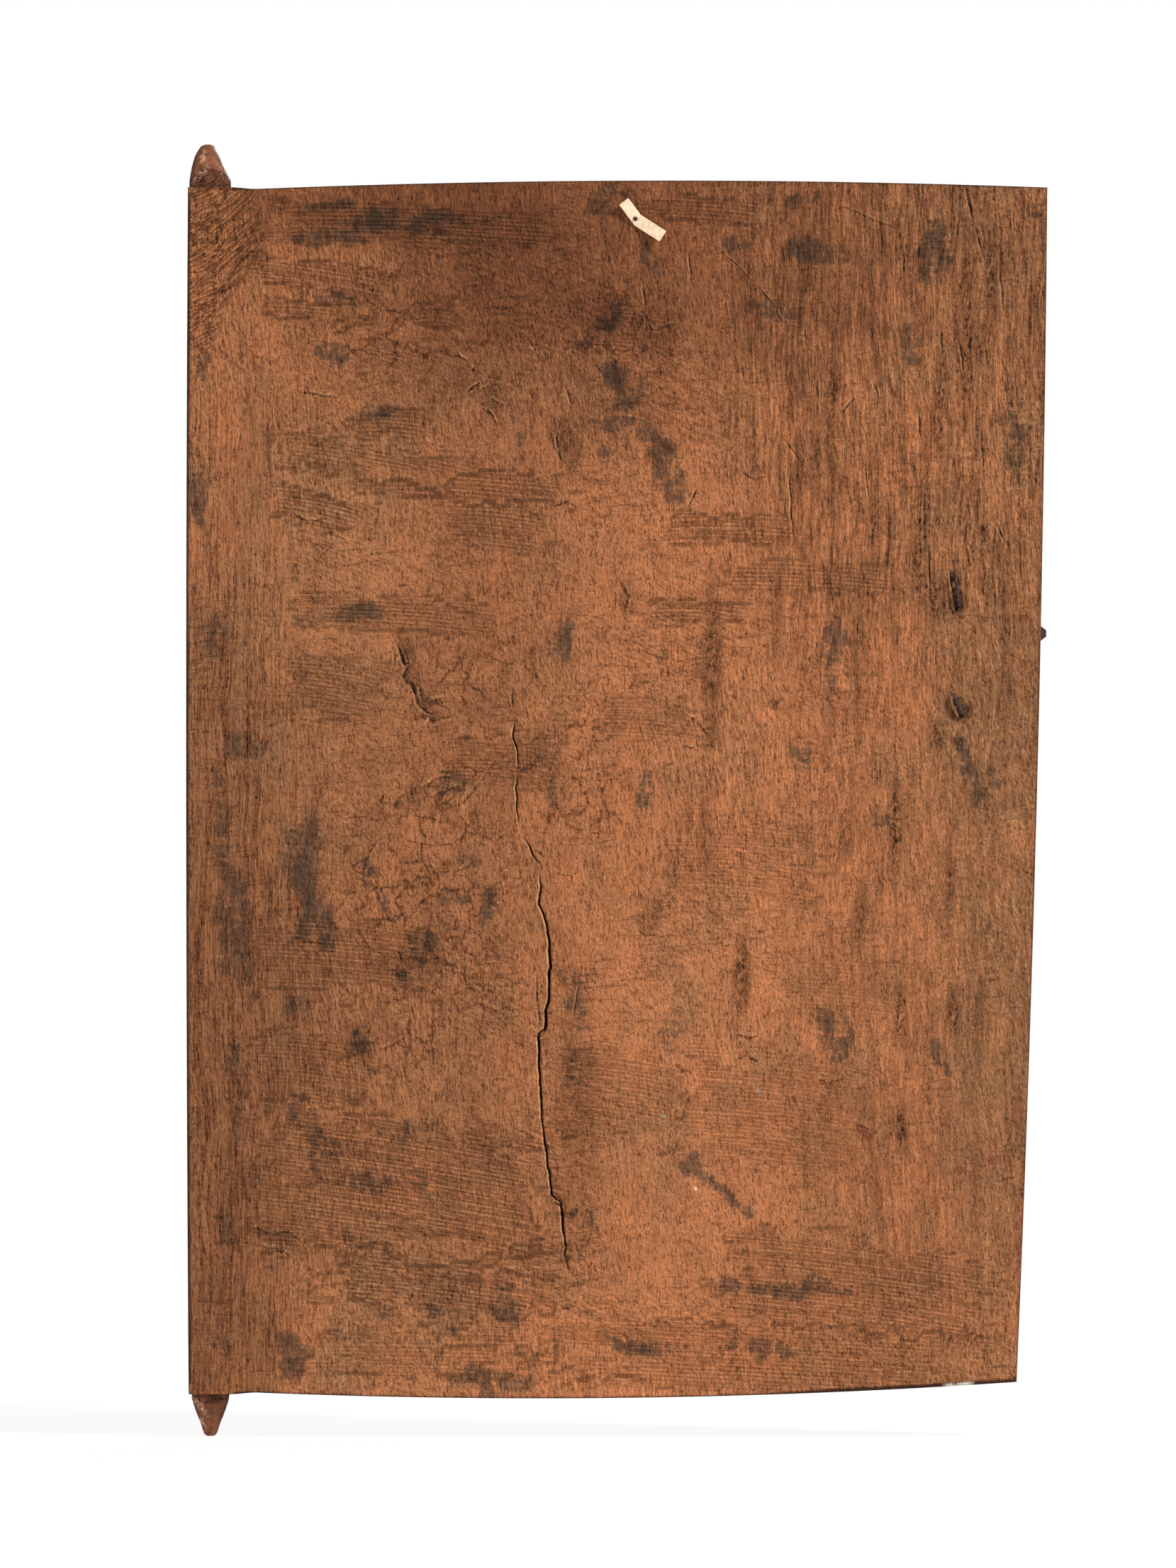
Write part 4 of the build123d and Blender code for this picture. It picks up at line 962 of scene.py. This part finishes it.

    # The wood's lightness; along where adze cuts meet it carries a little painted shade
    light = (
        1.015 + grain.swing(upright * 1.5 + streaky * 0.4 + 0.5) * rough
        + fibre.swing(upright * 0.9 + 0.6) * rough
        + streak.swing(upright * 0.6 + streaky * 0.5 + 0.2) + mottle.swing(0.5)
        + (fuzz.swing(fuzzy * 1.4 + 0.5) + strokes.swing(1 - upright) * 1.5) * rough
        + grit.swing(1.2) - ridge.swing(weathered) * 0.95 - meet.step(0.22, 0.0) * plates * 0.08
        - water_line_and_lip_shadow * (tide_open * 0.4 + 0.3) - furrow.step(0.2, 0.8) * (chips * 0.7 - flake_lips * 0.4))
    height = (
        bright * 0.5 + (grain * (upright * 1.3 + 0.5) + fibre * (upright * 0.6 + 0.4)) * rough
        + grit * 0.5 + strokes * (1 - upright) * 1.5 * rough + fuzz * (0.5 + torn * 1.4 + fuzzy * 1.6)
        - ridge * weathered * 2.0 + meet.least(0.3) * plates * 2.0
        - furrow * (chips * 2.4 - flake_lips * 1.5))
    # Each kind of mark, how much darker it is and how much deeper; chop grooves are darker as painted
    # shade, and the lips of chops and scores lighter as painted highlight
    for mark, darker, deeper in (
            (dashes, 0.30, 1.4), (splinters, -0.20, -1.0), (scored, 0.36, 1.4), (painted_score_highlight, -0.10, -0.8),
            (chopped, 0.44, 1.6), (painted_chop_highlight, -0.26, -1.2), (pores, 0.36, 0.6), (outline, 0.34, 0.8)):
        light, height = light - mark * darker, height - mark * deeper
    light = tone * light

    hue = finish.mix((red * 0.7 + mottle.swing(1.3) - fuzzy * 0.3 + 0.6).step(0.0, 1.0),
                     paint(140, 98, 65), paint(157, 98, 62))
    hue = finish.mix(light.step(0.5, 1.1), paint(148, 90, 56), hue)
    sawn = finish.times(paint(104, 66, 43)[:3], 1 + grain.swing(1.4) + streak.swing(0.8))
    # Dark along the arris: partly the wood's own dark edge, partly painted shade, widest along the foot
    # where the underside's shadow is painted
    arris = (edge + grain.swing(1.2)).step(2.4, 0.7) * (1 - side)
    flat = finish.vector("MULTIPLY", finish.place, (1, 0, 1))
    specks = []
    for at_x, at_z, size, shown in SPECKS:
        away = finish.vector("DISTANCE", flat, (at_x, 0, at_z), output=1) + fuzz.swing(0.8)
        specks.append((away.step(size, size * 0.6) * 0.85, paint(*shown)))
    colour = finish.covered(finish.times(hue, light), [
        (stained * 0.66, finish.times(paint(74, 56, 43)[:3], light)),
        (black * 0.54, paint(44, 37, 31)), (grime * 0.42, paint(76, 48, 33)),
        # The pale layer at bright is a painted highlight
        (torn * (chips * 0.6 + 0.25), paint(68, 40, 25)), (bright * 0.75, paint(214, 158, 108)),
        (facet.step(0.9, 1.0) * mottle.step(0.45, 0.6) * 0.25, paint(96, 62, 42)),
        (rust.step(0.3, 0.9) * 0.4, paint(128, 56, 38)), (side * 0.9, sawn),
        (arris * 0.9, paint(50, 29, 21)), (chip * ragged.step(0.38, 0.46), paint(226, 214, 196)),
        (crack.most(line), paint(34, 18, 11)), *specks])
    return finish.surface(colour, 0.72 - stained * 0.1 + torn * 0.1, height, specular=0.08)


def pivot_wood():
    """The same wood, hewn at the shoulder and rubbed smooth where the socket holds it; pale flecks on
    its back-left are a painted highlight and its sides get painted shade.
    """
    finish = Finish("pivot_wood")
    polish, glint, rim = finish.stored("polish glint rim")
    grain = finish.noise((0.5, 0.5, 0.05), 4, 0.6)
    fuzz = finish.noise((0.6, 0.6, 0.35), 3, 0.65, turn=-30)
    dirt = finish.noise((0.16, 0.16, 0.08), 4, 0.6, 4)
    marks, lips = cuts_of(finish, 1.0)
    hewn = 1 - polish
    # Cut grooves painted darker and their lips lighter: painted shade and painted highlight, besides the
    # bump
    light = 1 + grain.swing(0.9) + fuzz.swing(1.1) - marks * hewn * 0.44 + lips * hewn * 0.26
    # Painted shade: the wood darkens towards the pivot's sides
    light = light - polish.step(0.05, 0.5) * polish.step(0.95, 0.5) * 0.28 - rim * 0.4
    colour = finish.mix((dirt * 1.2 - 0.1).step(0.2, 0.8), paint(96, 57, 38), paint(124, 76, 50))
    colour = finish.times(colour, light)
    # Painted highlight: pale flecks on the pivot's back-left
    colour = finish.mix(glint * fuzz.step(0.44, 0.58) * 0.55, colour, paint(224, 180, 146))
    height = grain * 0.5 + fuzz * 0.9 - marks * hewn * 1.6 + lips * hewn * 1.2
    return finish.surface(colour, 0.62 - polish * 0.08, height, specular=0.1)


def front_wood():
    """The carved front: the same plank under a dark, handled skin, rubbed on the high places."""
    finish = Finish("front_wood")
    ground, edge = finish.stored("ground edge")
    grain = finish.noise((0.8, 0.3, 0.014), 5, 0.62, bend=1.0)
    streak = finish.noise((0.16, 0.2, 0.006), 4, 0.6, 9, bend=1.0)
    fuzz = finish.noise((0.7, 0.7, 0.28), 3, 0.6)
    dust = finish.noise((0.045, 0.05, 0.02), 4, 0.6, 7)
    high = ground.step(1.0, -1.2)
    arris = ground.step(-3.0, -0.6) * high
    rubbed = high * 0.35 + arris * 0.3 + dust.swing(1.3) + streak.swing(1.2) + fuzz.swing(0.4)
    rubbed = rubbed.step(0.1, 0.9) * high
    colour = finish.covered(finish.mix(rubbed, paint(78, 50, 36), paint(136, 88, 56)), [
        (ground.step(0.2, 2.2) * (streak.swing(0.8) + 0.45), paint(50, 34, 27)),
        (ground.near(0, 1.4, 0.2) * 0.5, paint(38, 25, 20)),
        (edge.step(2.5, 0.3) * 0.4, paint(136, 86, 56))])
    colour = finish.times(colour, 1 + grain.swing(1.3) + fuzz.swing(0.6))
    height = grain * 0.9 + fuzz * 0.5 + streak * 0.4
    return finish.surface(colour, 0.58 - rubbed * 0.14, height, specular=0.4)


def lock_wood(name, dark, pale, coarse):
    """Dark handled wood with paler rubbed patches."""
    finish = Finish(name)
    grain = finish.noise(coarse, 4, 0.6)
    patch = finish.noise((0.07, 0.07, 0.05), 4, 0.6, 2)
    colour = finish.mix((patch * 1.2 - 0.1 + grain.swing(0.4)).step(0.35, 0.8), dark, pale)
    colour = finish.times(colour, 1 + grain.swing(0.6))
    return finish.surface(colour, 0.52 - patch * 0.12, grain * 0.35, specular=0.5)


def forged_iron(name, dark, rust, metal):
    """Hand-forged iron with a brown-black skin and rust."""
    finish = Finish(name)
    scale = finish.noise((0.9, 0.9, 0.9), 4, 0.65)
    colour = finish.mix(scale.step(0.42, 0.66), dark, rust)
    return finish.surface(colour, 0.5 + scale.swing(0.4), scale * 0.12, specular=0.25, metal=metal)


def tag_paper():
    """Aged cream paper with a soft mottle; it carries no writing."""
    finish = Finish("tag_paper")
    mottle = finish.noise((0.35, 0.35, 0.35), 4, 0.6)
    fibre = finish.noise((2.0, 2.0, 2.0), 2)
    mottle = (mottle * 1.1 - 0.05).step(0.3, 0.75)
    colour = finish.mix(mottle, paint(210, 182, 148), paint(234, 210, 178))
    colour = finish.times(colour, 1 + fibre.swing(0.12))
    return finish.surface(colour, 0.8, fibre * 0.05, specular=0.3)


DOOR_WOOD = back_wood()
PIVOT_WOOD = pivot_wood()
FRONT_WOOD = front_wood()
LOCK_WOOD = lock_wood("lock_wood", paint(52, 36, 28), paint(92, 62, 44), (0.8, 0.3, 0.03))
BOLT_WOOD = lock_wood("bolt_wood", paint(60, 40, 29), paint(104, 70, 48), (0.03, 0.3, 0.8))
FORGED_IRON = forged_iron("forged_iron", paint(44, 36, 33), paint(78, 52, 38), 0.35)
NAIL_IRON = forged_iron("nail_iron", paint(28, 21, 18), paint(78, 54, 40), 0.0)
TACK_IRON = forged_iron("tack_iron", paint(40, 28, 24), paint(86, 48, 34), 0.2)
TAG_PAPER = tag_paper()


# ---------------------------------------------------------------- pivots
# Height above the shoulder, how far the middle leans to the hinge edge, radius
TOP_PROFILE = [
    (-14.0, 0.0, 10.8), (-6.0, 0.0, 11.7), (-1.5, 0.0, 12.2), (4.0, 0.0, 12.15), (8.5, 0.8, 10.6),
    (12.6, 1.6, 9.2), (17.5, 1.9, 7.3), (21.7, 2.0, 5.1), (23.6, 1.6, 3.9), (24.5, 1.0, 2.2),
    (24.6, 1.0, 0.0),
]
FOOT_PROFILE = [
    (-14.0, 0.0, 10.2), (-6.0, 0.0, 11.0), (-1.5, 0.0, 11.4), (3.0, 0.0, 11.35), (9.0, 0.0, 9.1),
    (16.0, 0.0, 6.3), (22.0, 0.0, 4.1), (23.4, 0.0, 3.1), (23.95, 0.0, 1.6), (24.0, 0.0, 0.0),
]


PIVOT_FACES_AROUND, PIVOT_FACES_ALONG = 96, 84


def pivot(name, profile, shoulder_z, up, facets, band, seed):
    """A pared round that stands out of the hinge stile, worn where it turns in its socket."""
    heights, leans, radii = np.array(profile).T
    rise = np.interp(
        np.linspace(0, 1, PIVOT_FACES_ALONG + 1), np.linspace(0, 1, len(heights)), heights)[:, None]
    angle = np.linspace(0, 2 * math.pi, PIVOT_FACES_AROUND + 1)[None, :]
    rng = np.random.default_rng(seed)
    faces = (np.arange(facets) + rng.uniform(-0.22, 0.22, facets)) * 2 * math.pi / facets
    twist = 0.10 * cloud(angle * 0, rise, 1, 9, seed)
    off = np.min([np.abs(np.angle(np.exp(1j * (angle + twist - face)))) for face in faces], axis=0)
    half = math.pi / facets
    flat = np.cos(half) / np.cos(np.minimum(off, half * 1.15))
    ring = np.interp(rise, heights, radii) * (1 - (1 - np.minimum(flat, 1)) * 0.85)
    across_x, across_y = ring * np.cos(angle), ring * np.sin(angle)
    dents = 0.35 * np.abs(cloud(across_x + across_y, rise, 5, 4, seed + 1))
    share = 1 - dents / np.maximum(ring, 3.0) * (ring > 0)
    x = across_x * share - np.interp(rise, heights, leans)
    z = shoulder_z + up * rise + 0 * x
    made = bmesh.new()
    sheet_of(made, PIVOT_FACES_AROUND, PIVOT_FACES_ALONG, np.stack([x, across_y * share, z], axis=-1))
    close_up(made, 0.01)
    piece = lay(name, made, PIVOT_WOOD, "door")
    x, y, z = spots_of(piece)
    above = (z - shoulder_z) * up
    worn = above - band + 6.0 * (x / 12) ** 2
    # Where the painted highlight lies: two patches on the pivot's left, on its back only
    glint = most_of([(-5.5, 7, 7, 1.7, 1.0, 50), (-4.2, 17.5, 1.8, 4, 1.0, -10)], x, above)
    span = np.interp(above, heights, radii) + 0.01
    centre = np.interp(above, heights, leans)
    # The last of these layers is painted shade, darker towards the pivot's sides
    write(
        piece, polish=smooth(-0.8, 0.8, worn), glint=glint * smooth(1, -3, y),
        rim=smooth(0.72, 1.0, np.abs(x + centre) / span) * smooth(-1, 1, above))
    return piece


# ---------------------------------------------------------------- the door
door_back = plank_skin("door_back", -1, back_hollow, DOOR_WOOD, True, 8)
write_back(door_back)
door_front = plank_skin("door_front", 1, front_hollow, FRONT_WOOD, False, 4)
write_front(door_front)
upper_pivot = pivot("upper_pivot", TOP_PROFILE, SHOULDER, 1, 9, 10.0, 71)
lower_pivot = pivot("lower_pivot", FOOT_PROFILE, 0.0, -1, 8, 5.0, 72)
for piece in (door_back, door_front, upper_pivot, lower_pivot):
    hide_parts("door_board")

for node, finish in (
        ("lock_case", LOCK_WOOD), ("lock_bolt", BOLT_WOOD), ("left_tumbler", FORGED_IRON),
        ("right_tumbler", FORGED_IRON), ("upper_lock_nail", NAIL_IRON),
        ("lower_lock_nail", NAIL_IRON), ("paper_tag", TAG_PAPER), ("tag_tack", TACK_IRON)):
    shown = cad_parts[node]
    shown.data.materials.clear()
    shown.data.materials.append(finish)


# ---------------------------------------------------------------- stage, lamps and camera
FLOOR_Z = -24.0
FLOOR_REACH = 40000.0
SHADOW_REACH, GROUND_PURE_WHITE = 700.0, 2200.0     # the ground turns pure white between these
WHITE = (1, 1, 1, 1)


def white_ground():
    """A white floor that keeps the door's soft shadow."""
    finish = Finish("pale_ground")
    path = finish.node("ShaderNodeLightPath", {}, {}, "Is Camera Ray")
    gloss = finish.node("ShaderNodeLightPath", {}, {}, "Is Glossy Ray")
    pale = finish.node("ShaderNodeBsdfDiffuse", {}, {"Color": (0.85, 0.85, 0.85, 1)})
    bright = finish.node("ShaderNodeEmission", {}, {"Color": WHITE, "Strength": 1.0})
    away = finish.vector("LENGTH", finish.place, output=1)
    share = away.step(SHADOW_REACH, GROUND_PURE_WHITE) * 0.1 + 0.9
    return finish.worn_by(
        finish.node("ShaderNodeMixShader", {}, {0: path.most(gloss) * share, 1: pale, 2: bright}))


made = bmesh.new()
bmesh.ops.create_grid(made, x_segments=1, y_segments=1, size=FLOOR_REACH * MM)
for vertex in made.verts:
    vertex.co.z = FLOOR_Z * MM
ground = bpy.data.objects.new("ground", bpy.data.meshes.new("ground"))
made.to_mesh(ground.data)
made.free()
ground.data.materials.append(white_ground())
bpy.context.scene.collection.objects.link(ground)

world = bpy.data.worlds.new("studio")
world.use_nodes = True
bpy.context.scene.world = world
sky = world.node_tree
fill = sky.nodes["Background"]
fill.inputs["Color"].default_value = WHITE
fill.inputs["Strength"].default_value = 0.15
seen = sky.nodes.new("ShaderNodeBackground")
seen.inputs["Color"].default_value = WHITE
path = sky.nodes.new("ShaderNodeLightPath")
either = sky.nodes.new("ShaderNodeMixShader")
sky.links.new(path.outputs["Is Camera Ray"], either.inputs[0])
sky.links.new(fill.outputs[0], either.inputs[1])
sky.links.new(seen.outputs[0], either.inputs[2])
sky.links.new(either.outputs[0], sky.nodes["World Output"].inputs["Surface"])


def lamp(name, place, aim, size, power):
    """A square soft lamp at a place in metres, turned to a point."""
    light = bpy.data.lights.new(name, "AREA")
    light.size, light.energy = size, power
    held = bpy.data.objects.new(name, light)
    held.location = place
    held.rotation_euler = (Vector(aim) - Vector(place)).to_track_quat("-Z", "Y").to_euler()
    bpy.context.scene.collection.objects.link(held)


DOOR_MIDDLE = (0.2134, 0.0, 0.3444)
lamp("key_lamp", (3.8, -2.2, 3.8), DOOR_MIDDLE, size=0.7, power=420)
lamp("left_lamp", (-3.6, -2.2, 2.0), DOOR_MIDDLE, size=1.4, power=75)
lamp("front_lamp", (1.6, 3.4, 2.6), DOOR_MIDDLE, size=2.0, power=120)

LENS = 350.0
FRAME_HEIGHT = 0.8848
camera = bpy.data.objects.new("camera", bpy.data.cameras.new("camera"))
camera.data.lens = LENS
camera.data.clip_end = 50
camera_away = FRAME_HEIGHT * LENS / camera.data.sensor_width
camera.location = (DOOR_MIDDLE[0], BACK_Y * MM - camera_away, DOOR_MIDDLE[2])
camera.rotation_euler = (math.radians(90), 0, 0)
bpy.context.scene.collection.objects.link(camera)
bpy.context.scene.camera = camera
bpy.context.scene.view_settings.view_transform = "Standard"
